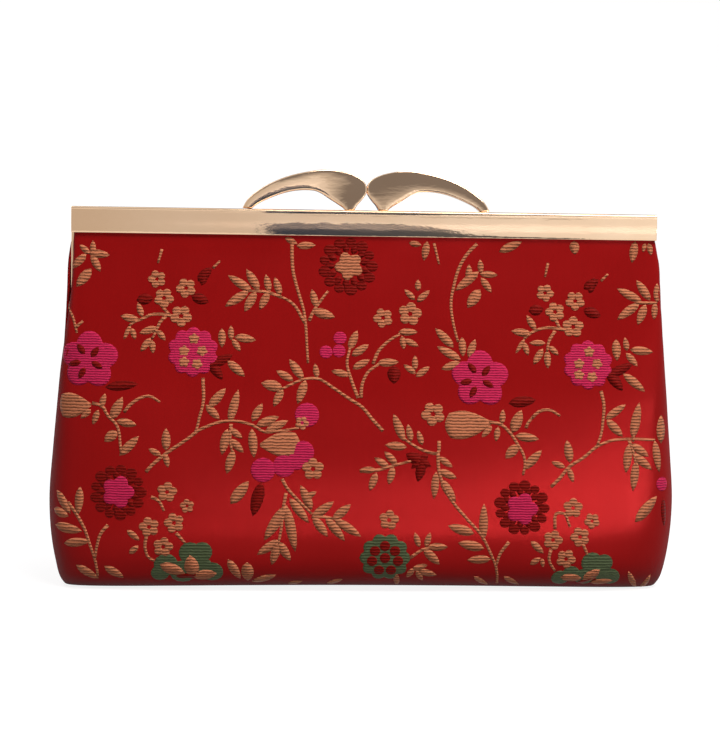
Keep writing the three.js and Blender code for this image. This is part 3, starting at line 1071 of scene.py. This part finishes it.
# Pieces
def cloth_panel(rise, thickness, step):
    """The front cloth as a closed thin sheet, raised off its form, with its flat measures as a map."""
    bm = bmesh.new()
    bmesh.ops.create_grid(bm, x_segments=(COLUMNS - 1) // step, y_segments=(ROWS - 1) // step, size=1)
    close_back(bm, -1)
    shares = np.array([vert.co for vert in bm.verts])
    across = (shares[:, 0] + 1) / 2
    down = (1 - shares[:, 1]) / 2
    places = form().place(across, down, rise + shares[:, 2] * thickness)
    u = form().mix(form().flat, across, down)
    v = down * form().rows[-1]
    cloth_map = bm.loops.layers.uv.new("cloth")
    bm.verts.index_update()
    for face in bm.faces:
        for loop in face.loops:
            at = loop.vert.index
            loop[cloth_map].uv = (u[at] * PER_METRE, -v[at] * PER_METRE)
    for vert, place in zip(bm.verts, places):
        vert.co = place
    return bm


def bends_at_hinge(piece):
    """Bakes a piece's placing into its points."""
    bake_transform(piece)


def cut_size():
    """Width and length of one cloth panel before it was sewn in."""
    return float(np.ptp(form().flat, axis=1).max()), float(form().rows[-1])


class WALLET_OT_cloth(bpy.types.Operator):
    """Makes the front and back brocade and their linings"""

    bl_idname = "wallet.cloth"
    bl_label = "Brocade and lining"

    def execute(self, context):
        cloth = context.scene.wallet_cloth
        colours = context.scene.wallet_colours
        brocade = satin_material("brocade_ground", colours.ground, GROUND_ROUGHNESS, GROUND_FLOATS)
        lining = satin_material("lining_satin", colours.lining, LINING_ROUGHNESS, LINING_FLOATS)
        front = new_object("brocade_front", cloth_panel(0, cloth.thickness, BROCADE_STEP), brocade)
        back = turned_copy(front, "brocade_back")
        inner = cloth_panel(-cloth.thickness - LINING_GAP, cloth.lining, LINING_STEP)
        front_lining = new_object("lining_front", inner, lining)
        back_lining = turned_copy(front_lining, "lining_back")
        for piece in (front, front_lining):
            bends_at_hinge(piece)
        for piece in (back, back_lining):
            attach(piece, "back_half")
        for piece, node in ((front, "front_shell"), (back, "bag_shell")):
            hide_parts(node)
        for piece, node in ((front_lining, "front_lining"), (back_lining, "bag_lining")):
            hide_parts(node)
        for piece, holder in ((front_lining, "front_frame"), (back_lining, "back_frame")):
            cut_size()
        return {"FINISHED"}


# Threads: colour, shade of the gaps, ribs per centimetre, openness
THREADS = (
    ("gold", 0.32, 10.5, 1.05),
    ("pink", 0.6, 13.0, 0.9),
    ("maroon", 0.5, 11.0, 0.9),
    ("green", 0.45, 11.0, 0.9),
)


class WALLET_OT_flowers(bpy.types.Operator):
    """Weaves the raised flowers, leaves and stems into the brocade"""

    bl_idname = "wallet.flowers"
    bl_label = "Woven flowers"

    def execute(self, context):
        colours = context.scene.wallet_colours
        sets = []
        for name, gap_shade, ribs, openness in THREADS:
            colour = getattr(colours, name + "_thread")
            material = thread_material(name + "_thread", colour, gap_shade, ribs, openness)
            sets.append(FlowerSet(name + "_flowers", material))
        self.weave(*sets)
        fronts = [flowers.laid() for flowers in sets]
        backs = [turned_copy(piece, piece.name + "_back") for piece in fronts]
        for piece in fronts:
            bends_at_hinge(piece)
        for piece in backs:
            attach(piece, "back_half")
        for name, pieces, holder in (
            ("brocade_front", fronts, "front_frame"),
            ("brocade_back", backs, "back_frame"),
        ):
            cut_size()
        return {"FINISHED"}

    def weave(self, gold, pink, maroon, green):
        """Draws every flower flat on the cloth."""
        point_size = wallet().wallet_view.distance / wallet().wallet_view.focal
        leaf = leaf_form()
        blossom = round_form(5, 0.34, 25)
        petal = round_form(1, 0.0, 14)
        small_petal = round_form(1, 0.0, 9, ((0.12, 0.8), (0.4, 1.0)))
        five = round_form(5, 0.26, 40)
        frilled = round_form(10, 0.14, 40)
        calyx = calyx_form()

        def spot(x, y):
            return form().flat_from_picture([(x, y)])[0]

        def leaves(flowers, table, lift=0.0):
            for x0, y0, x1, y1, *wide in table:
                grows = LEAF_WIDTH_SHARE * math.hypot(x1 - x0, y1 - y0)
                width = wide[0] if wide else min(max(grows, LEAF_LEAST), LEAF_MOST)
                base = spot(x0, y0)
                tip = spot(x1, y1)
                grown = LEAF_GROWTH * (tip - base)
                flowers.leaf(leaf, base - grown, tip + grown / 2, LEAF_PLUMP * width * point_size, lift)

        def stems(flowers, table, width):
            for line in table:
                flowers.stem(form().flat_from_picture(line), width * point_size)

        leaves(gold, GOLD_LEAVES)
        stems(gold, GOLD_STEMS, STEM_WIDTH)
        stems(gold, SHORT_STEMS, SHORT_STEM_WIDTH)
        for x, y, radius in GOLD_BLOSSOMS:
            self.five_petals(gold, small_petal, spot(x, y), radius * point_size, BLOSSOM_TURN * x)
        for x0, y0, x1, y1, width in CALYXES:
            gold.leaf(calyx, spot(x0, y0), spot(x1, y1), width * point_size)
        for x, y, radius in PINK_SLIT_FLOWERS:
            pink.round(five, spot(x, y), radius * point_size, turn=PINK_TURN)
            for dx, dy in MAROON_SLITS:
                share = SLIT_HALF / math.hypot(dx, dy)
                inner = spot(x + dx * (1 - share), y + dy * (1 - share))
                outer = spot(x + dx * (1 + share), y + dy * (1 + share))
                maroon.leaf(leaf, inner, outer, SLIT_WIDTH * point_size, ON_TOP)
        for x, y, radius in PINK_DOT_FLOWERS:
            pink.round(frilled, spot(x, y), radius * point_size, turn=PINK_TURN)
            for dx, dy in GOLD_DOTS:
                gold.round(blossom, spot(x + dx, y + dy), DOT_RADIUS * point_size, turn=dx, lift=ON_TOP)
        for x, y, radius in PINK_PETALS:
            pink.round(petal, spot(x, y), radius * point_size)
        for x, y, radius in MAROON_RINGS:
            self.petal_ring(maroon, petal, leaf, spot(x, y), radius * point_size)
        for x, y, radius in PINK_HEARTS:
            pink.round(five, spot(x, y), radius * point_size, lift=ON_TOP)
        for x, y, radius in GOLD_HEARTS:
            gold.round(blossom, spot(x, y), radius * point_size, turn=GOLD_HEART_TURN, lift=ON_TOP)
        leaves(maroon, MAROON_LEAVES)
        for x, y, radius in GREEN_LOBES:
            green.round(petal, spot(x, y), radius * point_size)
        for x, y, radius in GREEN_FLOWERS:
            green.round(frilled, spot(x, y), radius * point_size)
            for dx, dy in GREEN_FLOWER_MAROON:
                maroon.round(petal, spot(x + dx, y + dy), BEAD_RADIUS * point_size, lift=ON_TOP)
        leaves(gold, GREEN_FLOWER_GOLD, ON_TOP)
        leaves(maroon, GREEN_FLOWER_DARK, UNDER_TOP)

    def five_petals(self, flowers, petal, middle, radius, turn):
        """Round petals about a small gap."""
        for step in range(BLOSSOM_PETALS):
            angle = turn + 2 * math.pi * step / BLOSSOM_PETALS
            place = middle + np.array([math.cos(angle), math.sin(angle)]) * BLOSSOM_REACH * radius
            lift = PETAL_LIFT + PETAL_LIFT_STEP * step
            flowers.round(petal, place, BLOSSOM_PETAL * radius, turn=angle, lift=lift)

    def petal_ring(self, flowers, petal, leaf, middle, radius):
        """A ring of round petals with small stitches inside it and the ground showing between them."""
        for step in range(RING_PETALS):
            angle = 2 * math.pi * step / RING_PETALS
            place = middle + np.array([math.cos(angle), math.sin(angle)]) * RING_REACH * radius
            size = RING_PETAL * (1 + RING_UNEVEN * math.sin(5 * angle + middle[0] / MM)) * radius
            flowers.round(petal, place, size, turn=angle, squash=RING_SQUASH)
            half = angle + math.pi / RING_PETALS
            inward = np.array([math.cos(half), math.sin(half)]) * radius
            base = middle + inward * STITCH_FROM
            tip = middle + inward * STITCH_TO
            flowers.leaf(leaf, base, tip, STITCH_WIDTH * radius, STITCH_LIFT)


# Small sizes of the pressed frame
LIP_RISE = 2 * MM
TOP_STEPS = 6
FACE_CUTS = 9
FACE_TALL = 5 * MM
FACE_NEAR = 0.01 * MM
LIP_EDGE, LIP_STEPS = 0.16 * MM, 2
SHARP = 1.2
EDGE_STEPS = 3
PLATE_LOW = 0.05 * MM
PLATE_INSET = 0.25 * MM
PLATE_TOP = 0.1 * MM
PLATE_END = 0.02 * MM
PLATE_EDGE = 0.25 * MM
ARM_BACK = -0.4 * MM
ARM_EDGE = 0.22 * MM
EYE_EDGE, EYE_STEPS = 0.2 * MM, 40


def extruded(bm, face, offset):
    """Pulls a face along an offset and leaves a closed solid."""
    result = bmesh.ops.extrude_face_region(bm, geom=[face], use_keep_orig=True)
    bmesh.ops.translate(bm, verts=added_verts(result), vec=offset)
    bmesh.ops.recalc_face_normals(bm, faces=bm.faces)


def swept_part(x, outline, length):
    """A closed part from an outline of depths and heights at x, drawn along by a length."""
    part = bmesh.new()
    verts = [part.verts.new((x, y, z)) for y, z in outline]
    extruded(part, part.faces.new(verts), (length, 0, 0))
    return part


def on_face(vert):
    """Whether a point lies on the front of the bar."""
    return vert.co.y < -BAR_FACE + FACE_NEAR


def edge_span(edge, axis):
    """How far an edge reaches along an axis."""
    return abs(edge.verts[0].co[axis] - edge.verts[1].co[axis])


def bar_solid(bm, sizes):
    """The pressed bar: an upside-down channel with a gently swelling face."""
    inner = -sizes.halves_gap / 2
    low = BAR_TOP - sizes.bar_height
    inner_low = low + LIP_RISE
    wall = sizes.sheet
    part = swept_part(-BAR_HALF, (
        (-BAR_FACE, low), (-BAR_FACE, BAR_TOP), (inner, BAR_TOP), (inner, inner_low),
        (inner - wall, inner_low), (inner - wall, BAR_TOP - wall),
        (-BAR_FACE + wall, BAR_TOP - wall), (-BAR_FACE + wall, low),
    ), 2 * BAR_HALF)
    along = [edge for edge in part.edges if edge_span(edge, 0) > BAR_HALF]
    top = [edge for edge in along if edge.verts[0].co.z > BAR_TOP - MM / 10]
    round_edges(part, top, sizes.edge, TOP_STEPS)
    uprights = [edge for edge in part.edges if edge_span(edge, 2) > FACE_TALL]
    uprights = [edge for edge in uprights if all(on_face(vert) for vert in edge.verts)]
    bmesh.ops.subdivide_edges(part, edges=uprights, cuts=FACE_CUTS, use_grid_fill=True)
    for vert in part.verts:
        if on_face(vert):
            share = (vert.co.z - low) / (sizes.bar_height - sizes.edge)
            vert.co.y += sizes.crown * (2 * share - 1) ** 2
    ends_and_lips = [edge for edge in part.edges if edge.calc_face_angle(0) > SHARP]
    round_edges(part, ends_and_lips, LIP_EDGE, LIP_STEPS)
    joined(bm, part)


def joined(bm, part):
    """Moves a part's geometry into a larger bmesh."""
    mesh = bpy.data.meshes.new("part")
    part.to_mesh(mesh)
    part.free()
    bm.from_mesh(mesh)
    bpy.data.meshes.remove(mesh)


def end_plate(bm, sizes, side):
    """Closes one end of the bar with a rounded return."""
    low = BAR_TOP - sizes.bar_height + PLATE_LOW
    top = BAR_TOP - PLATE_TOP
    face = -BAR_FACE + PLATE_INSET
    inner = -sizes.halves_gap / 2 - PLATE_TOP
    outline = ((face, low), (face, top), (inner, top), (inner, low))
    part = swept_part(side * (BAR_HALF - PLATE_END), outline, -side * sizes.sheet)
    round_edges(part, part.edges[:], PLATE_EDGE, EDGE_STEPS)
    joined(bm, part)


def side_arm(bm, sizes, outside, inside):
    """A side arm from the bar down to its hinge eye, between two places across."""
    front = ARM_BACK - sizes.arm_width
    top = BAR_TOP - MM
    outline = ((front, HINGE.z), (front, top), (ARM_BACK, top), (ARM_BACK, HINGE.z))
    part = swept_part(outside, outline, inside - outside)
    round_edges(part, part.edges[:], ARM_EDGE, EDGE_STEPS)
    joined(bm, part)
    eye = bmesh.new()
    middle = Matrix.Translation(((outside + inside) / 2, 0, HINGE.z))
    bmesh.ops.create_cone(
        eye, cap_ends=True, segments=EYE_STEPS, radius1=sizes.eye_radius, radius2=sizes.eye_radius,
        depth=abs(outside - inside), matrix=middle @ Matrix.Rotation(math.pi / 2, 4, "Y"),
    )
    rims = [edge for edge in eye.edges if edge.calc_face_angle(0) > 1]
    round_edges(eye, rims, EYE_EDGE, EDGE_STEPS)
    joined(bm, eye)


class WALLET_OT_frames(bpy.types.Operator):
    """Makes the two pressed frame halves with their side arms"""

    bl_idname = "wallet.frames"
    bl_label = "Frame halves"

    def execute(self, context):
        sizes = context.scene.wallet_frame
        bm = bmesh.new()
        bar_solid(bm, sizes)
        for side in (-1, 1):
            end_plate(bm, sizes, side)
        side_arm(bm, sizes, -BAR_HALF, -BAR_HALF + sizes.arm_thickness)
        inner_arm = BAR_HALF - sizes.arm_thickness - sizes.halves_gap
        side_arm(bm, sizes, inner_arm, inner_arm - sizes.arm_thickness)
        front = new_object("frame_front", bm, metal_material())
        back = turned_copy(front, "frame_back")
        for piece, body, node in ((front, "front_half", "front_frame"), (back, "back_half", "back_frame")):
            even_shading(piece)
            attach(piece, body)
            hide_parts(node)
        return {"FINISHED"}


# Horn sections from tip to foot as shares of reach and rise: underside point, then top point
HORN_SECTIONS = (
    (0.925, 0.0, 0.995, 0.02),
    (0.895, 0.075, 0.975, 0.15),
    (0.86, 0.15, 0.94, 0.29),
    (0.80, 0.24, 0.88, 0.44),
    (0.73, 0.33, 0.80, 0.60),
    (0.66, 0.405, 0.69, 0.76),
    (0.59, 0.455, 0.58, 0.87),
    (0.52, 0.48, 0.46, 0.95),
    (0.46, 0.482, 0.37, 0.99),
    (0.41, 0.465, 0.28, 0.99),
    (0.36, 0.40, 0.195, 0.95),
    (0.32, 0.32, 0.117, 0.885),
    (0.285, 0.25, 0.05, 0.785),
    (0.255, 0.195, 0.012, 0.665),
    (0.24, 0.165, 0.002, 0.585),
    (0.23, 0.145, 0.0005, 0.52),
    (0.218, 0.122, 0.002, 0.45),
    (0.207, 0.10, 0.013, 0.37),
    (0.19, 0.065, 0.045, 0.235),
    (0.178, 0.03, 0.078, 0.12),
    (0.17, 0.0, 0.10, 0.0),
)
HORN_STEPS = 49

# A horn's section from the foot of its face to the top: depth share, height share
HORN_SIDE = [
    (0.35, -1.0), (0.74, -1.0), (0.86, -0.96), (0.93, -0.88), (0.965, -0.74), (0.985, -0.4), (0.99, 0.0),
    (0.985, 0.4), (0.965, 0.74), (0.93, 0.88), (0.86, 0.96), (0.74, 1.0), (0.35, 1.0),
]

# How far the horns' faces lean, and where along a horn the lean sets in or eases
NOSE_LEAN = 0.17
NOSE_LEAN_STARTS, NOSE_LEAN_FULL = 0.2, 0.67
BACK_LEAN = 0.145
BACK_LEAN_FALL = 0.35


def horn_section():
    """A flat-faced section with softly bevelled edges, once round: depth share, height share."""
    front = [(-wide, tall) for wide, tall in HORN_SIDE]
    return front + HORN_SIDE[::-1]


def horn_solid():
    """A crescent horn drawn through its sections."""
    bm = bmesh.new()
    reach = -HORN_LOW.x
    rise = HORN_HIGH.z - BAR_TOP
    half_depth = (HORN_HIGH.y - HORN_LOW.y) / 2
    middle = (HORN_HIGH.y + HORN_LOW.y) / 2
    at = np.linspace(0, len(HORN_SECTIONS) - 1, HORN_STEPS)
    lines = [eased(at, range(len(HORN_SECTIONS)), line) for line in zip(*HORN_SECTIONS)]
    rings = []
    for share, under_x, under_z, top_x, top_z in zip(np.linspace(0, 1, HORN_STEPS), *lines):
        under = Vector((-under_x * reach, middle, BAR_TOP + under_z * rise))
        top = Vector((-top_x * reach, middle, BAR_TOP + top_z * rise))
        up = (top - under) / 2
        ring = []
        front_lean = NOSE_LEAN * soft_step(share, NOSE_LEAN_STARTS, NOSE_LEAN_FULL)
        for wide, tall in horn_section():
            place = (under + top) / 2 + Vector((0, wide * half_depth, 0)) + up * tall
            lean = front_lean if wide < 0 else -BACK_LEAN * (1 - BACK_LEAN_FALL * share)
            place.y += lean * abs(wide) * (place.z - BAR_TOP)
            ring.append(bm.verts.new(place))
        rings.append([bm.edges.new(pair) for pair in zip(ring, ring[1:] + ring[:1])])
    for first, second in zip(rings, rings[1:]):
        bmesh.ops.bridge_loops(bm, edges=first + second)
    for ring in (rings[0], rings[-1]):
        bmesh.ops.contextual_create(bm, geom=ring)
    bmesh.ops.recalc_face_normals(bm, faces=bm.faces)
    return bm


class WALLET_OT_horns(bpy.types.Operator):
    """Makes the two crescent horns that snap past each other"""

    bl_idname = "wallet.horns"
    bl_label = "Clasp horns"

    def execute(self, context):
        left = new_object("horn_left", horn_solid(), metal_material())
        right = turned_copy(left, "horn_right")
        for piece, body, node in ((left, "front_half", "left_horn"), (right, "back_half", "right_horn")):
            even_shading(piece)
            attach(piece, body)
            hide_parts(node)
        return {"FINISHED"}


# Rivet heads: depth from the end and share of the head's radius
RIVET_DOME = ((0, 0), (0.05 * MM, 0.55), (0.2 * MM, 0.93))
RIVET_END = 0.7 * MM
RIVET_HEAD_HEIGHT = 0.4 * MM
RIVET_STEPS = 32


class WALLET_OT_rivets(bpy.types.Operator):
    """Makes the two hinge rivets with domed heads"""

    bl_idname = "wallet.rivets"
    bl_label = "Hinge rivets"

    def execute(self, context):
        sizes = context.scene.wallet_frame
        for name in ("left_rivet", "right_rivet"):
            low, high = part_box(name)
            middle = (low.x + high.x) / 2
            grip = (high.x - low.x) / 2 - RIVET_END
            half = grip + RIVET_HEAD_HEIGHT
            bm = bmesh.new()
            left = [(-half + depth, sizes.rivet_head * share) for depth, share in RIVET_DOME]
            left += [(-grip, sizes.rivet_head), (-grip, sizes.rivet_radius)]
            profile = left + [(-x, r) for x, r in left[::-1]]
            verts = [bm.verts.new((middle + x, 0, HINGE.z + r)) for x, r in profile]
            edges = [bm.edges.new(pair) for pair in zip(verts, verts[1:])]
            bmesh.ops.spin(
                bm, geom=verts + edges, cent=(middle, 0, HINGE.z), axis=(1, 0, 0), dvec=(0, 0, 0),
                angle=2 * math.pi, steps=RIVET_STEPS, use_merge=True,
            )
            bmesh.ops.remove_doubles(bm, verts=bm.verts, dist=1e-6)
            bmesh.ops.recalc_face_normals(bm, faces=bm.faces)
            piece = new_object("rivet_" + name.split("_")[0], bm, metal_material())
            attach(piece, "back_half")
            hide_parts(name)
        return {"FINISHED"}


# The floor's line from front to back and up, its bend and its width
FLOOR_LINE = ((-3.0, 0), (1.4, 0), (1.4, 2.5))
FLOOR_BEND, FLOOR_BEND_STEPS = 0.9, 16
FLOOR_LEFT, FLOOR_WIDTH = -4, 8
FLOOR_ROUGHNESS = 0.8
FLOOR_GLOSS = 0.1

# Lamps, one overhead in front, a weaker one behind and one low: name, place, aim, size, power, colour
LAMPS = (
    ("key_lamp", (0.46, -0.58, 1.22), (0, 0, 0.06), (0.9, 0.6), 19.8, (1, 0.97, 0.96)),
    ("back_lamp", (-0.5, 0.85, 1.05), (0, 0, 0.06), (0.9, 0.6), 8.0, (1, 0.97, 0.95)),
    ("band_lamp", (0.45, -1.1, 0.08), (0, 0, 0.03), (1.0, 0.08), 6.9, (1, 0.95, 1)),
)
GLOSS_LAMP = "band_lamp"

# Glowing cards, no lamps, that only polished faces see: painted reflections on the metal, lighter to the
# right, a dark streak on the bar and light to dark over the horns. Columns: name, corners, depth, axis,
# colours at places along the axis
CARDS = (
    (
        "pale_card", ((-0.32, 0.0), (0.36, 0.0), (0.36, 0.235), (-0.32, 0.235)), -0.42, "X",
        ((-0.14, (0.70, 0.66, 0.62)), (0.0, (0.88, 0.88, 0.90)), (0.24, (1.3, 1.35, 1.4))),
    ),
    (
        "upper_card", ((-0.32, 0.235), (0.36, 0.235), (0.36, 0.7), (-0.32, 0.7)), -0.42, "X",
        ((-0.2, (0.34, 0.32, 0.32)), (0.2, (0.3, 0.29, 0.3))),
    ),
    (
        "dark_card", (
            (-0.026, 0.0), (0.125, 0.0), (0.125, 0.022), (0.0907, 0.04), (0.0722, 0.06), (0.0445, 0.112),
            (0.038, 0.1195), (-0.02, 0.1195), (-0.026, 0.112),
        ), -0.30, "X",
        ((-0.03, (0.03, 0.05, 0.11)), (0.07, (0.11, 0.13, 0.16))),
    ),
    (
        "horn_card", ((-0.03, 0.136), (0.09, 0.136), (0.09, 0.3), (-0.03, 0.3)), -0.12, "Z",
        ((0.136, (0.85, 0.85, 0.85)), (0.155, (0.28, 0.27, 0.28))),
    ),
)

# The camera's sensor width in millimetres and its near limit
SENSOR = 36
NEAR_LIMIT = 0.01


def soft_lamp(name, place, aim, size, power, colour):
    """A soft rectangular lamp."""
    lamp = bpy.data.lights.new(name, "AREA")
    lamp.shape = "RECTANGLE"
    lamp.size, lamp.size_y = size
    lamp.energy = power
    lamp.color = colour
    obj = bpy.data.objects.new(name, lamp)
    bpy.context.scene.collection.objects.link(obj)
    obj.location = place
    obj.rotation_euler = (Vector(aim) - Vector(place)).to_track_quat("-Z", "Y").to_euler()
    obj.visible_diffuse = name != GLOSS_LAMP


def stage_card(name, corners, y, axis, glows):
    """Upright glowing cards in front and behind, no lamps, that show only in gloss as painted reflections,
    with colours at places along an axis.
    """
    bm = bmesh.new()
    bm.faces.new([bm.verts.new((x, y, z)) for x, z in corners])
    material = bpy.data.materials.new(name)
    material.use_nodes = True
    tree = material.node_tree
    tree.nodes.clear()
    parts = split(tree, tree.nodes.new("ShaderNodeTexCoord").outputs["Object"])
    glow = tree.nodes.new("ShaderNodeEmission")
    colour = None
    for (left, first), (right, second) in zip(glows, glows[1:]):
        spread = tree.nodes.new("ShaderNodeMapRange")
        set_inputs(spread, {"From Min": left, "From Max": right})
        tree.links.new(parts[axis], spread.inputs["Value"])
        colour = mix_colour(tree, spread.outputs[0], colour or first, second)
    tree.links.new(colour, glow.inputs["Color"])
    out = tree.nodes.new("ShaderNodeOutputMaterial")
    tree.links.new(glow.outputs[0], out.inputs["Surface"])
    card = new_object(name, bm, material)
    card.visible_camera = False
    card.visible_diffuse = False
    card.visible_shadow = False
    card.visible_transmission = False
    behind = card.copy()
    behind.name = name + "_behind"
    behind.rotation_euler.z = math.pi
    bpy.context.scene.collection.objects.link(behind)


def seen_ray(tree):
    """1 where a surface is looked at, straight or in a reflection, and 0 where it only gives light."""
    path = tree.nodes.new("ShaderNodeLightPath")
    seen = math_node(tree, "MAXIMUM", path.outputs["Is Camera Ray"], path.outputs["Is Glossy Ray"])
    return math_node(tree, "MAXIMUM", seen, path.outputs["Is Transmission Ray"])


class WALLET_OT_stage(bpy.types.Operator):
    """Makes the floor, lamps, sky and camera"""

    bl_idname = "wallet.stage"
    bl_label = "Stage"

    def execute(self, context):
        self.floor()
        self.sky()
        for lamp in LAMPS:
            soft_lamp(*lamp)
        for card in CARDS:
            stage_card(*card)
        self.camera()
        context.scene.view_settings.view_transform = "Standard"
        return {"FINISHED"}

    def floor(self):
        """A pale floor that sweeps up behind."""
        bm = bmesh.new()
        verts = [bm.verts.new((FLOOR_LEFT, y, z)) for y, z in FLOOR_LINE]
        for pair in zip(verts, verts[1:]):
            bm.edges.new(pair)
        bmesh.ops.bevel(
            bm, geom=[verts[1]], offset=FLOOR_BEND, segments=FLOOR_BEND_STEPS, profile=0.5,
            affect="VERTICES", material=-1,
        )
        swept = bmesh.ops.extrude_edge_only(bm, edges=bm.edges[:])
        bmesh.ops.translate(bm, verts=added_verts(swept), vec=(FLOOR_WIDTH, 0, 0))
        bmesh.ops.recalc_face_normals(bm, faces=bm.faces)
        material, tree, shader = blank_material("studio_floor")
        set_inputs(shader, {
            "Base Color": (*wallet().wallet_colours.floor, 1),
            "Roughness": FLOOR_ROUGHNESS,
            "Specular IOR Level": FLOOR_GLOSS,
        })
        glow = tree.nodes.new("ShaderNodeEmission")
        both = tree.nodes.new("ShaderNodeAddShader")
        out = tree.nodes["Material Output"]
        tree.links.new(math_node(tree, "MULTIPLY", seen_ray(tree), FLOOR_GLOW), glow.inputs["Strength"])
        tree.links.new(shader.outputs[0], both.inputs[0])
        tree.links.new(glow.outputs[0], both.inputs[1])
        tree.links.new(both.outputs[0], out.inputs["Surface"])
        floor = new_object("studio_floor", bm, material)

    def sky(self):
        """An even white surround, softer as light than it looks."""
        world = bpy.data.worlds.new("studio_surround")
        world.use_nodes = True
        bpy.context.scene.world = world
        tree = world.node_tree
        tree.nodes.clear()
        strength = math_node(tree, "MULTIPLY_ADD", seen_ray(tree), 1 - SKY_LIGHT, SKY_LIGHT)
        back = tree.nodes.new("ShaderNodeBackground")
        out = tree.nodes.new("ShaderNodeOutputWorld")
        back.inputs["Color"].default_value = (1, 1, 1, 1)
        tree.links.new(strength, back.inputs["Strength"])
        tree.links.new(back.outputs[0], out.inputs["Surface"])

    def camera(self):
        """The camera at the picture's place."""
        view = wallet().wallet_view
        place, right, up, forward = view_axes()
        lens = bpy.data.cameras.new("camera")
        lens.sensor_fit = "HORIZONTAL"
        lens.sensor_width = SENSOR
        lens.lens = view.focal * SENSOR / PICTURE_WIDTH
        lens.clip_start = NEAR_LIMIT
        obj = bpy.data.objects.new("camera", lens)
        bpy.context.scene.collection.objects.link(obj)
        turn = Matrix((right, up, -forward)).transposed()
        obj.matrix_world = Matrix.Translation(place) @ turn.to_4x4()
        bpy.context.scene.camera = obj


class WALLET_PT_panel(bpy.types.Panel):
    """Lists the wallet's sizes, colours and steps"""

    bl_idname = "WALLET_PT_panel"
    bl_label = "Clutch Wallet"
    bl_space_type = "VIEW_3D"
    bl_region_type = "UI"
    bl_category = "Wallet"

    def draw(self, context):
        scene = context.scene
        for settings in (scene.wallet_frame, scene.wallet_cloth, scene.wallet_colours, scene.wallet_view):
            box = self.layout.box()
            for name in settings.__annotations__:
                box.prop(settings, name)
        for operator in STEPS:
            self.layout.operator(operator.bl_idname)


STEPS = (
    WALLET_OT_stage, WALLET_OT_frames, WALLET_OT_horns, WALLET_OT_rivets, WALLET_OT_cloth,
    WALLET_OT_flowers,
)
SETTINGS = (
    ("wallet_frame", WalletFrameSizes), ("wallet_cloth", WalletClothSizes),
    ("wallet_colours", WalletColours), ("wallet_view", WalletView),
)


def register():
    for name, group in SETTINGS:
        bpy.utils.register_class(group)
        setattr(bpy.types.Scene, name, bpy.props.PointerProperty(type=group))
    for step in STEPS:
        bpy.utils.register_class(step)
    bpy.utils.register_class(WALLET_PT_panel)


def unregister():
    bpy.utils.unregister_class(WALLET_PT_panel)
    for step in STEPS:
        bpy.utils.unregister_class(step)
    for name, group in SETTINGS:
        delattr(bpy.types.Scene, name)
        bpy.utils.unregister_class(group)


def main():
    register()
    bpy.ops.wallet.stage()
    bpy.ops.wallet.frames()
    bpy.ops.wallet.horns()
    bpy.ops.wallet.rivets()
    bpy.ops.wallet.cloth()
    bpy.ops.wallet.flowers()


if __name__ == "__main__":
    main()
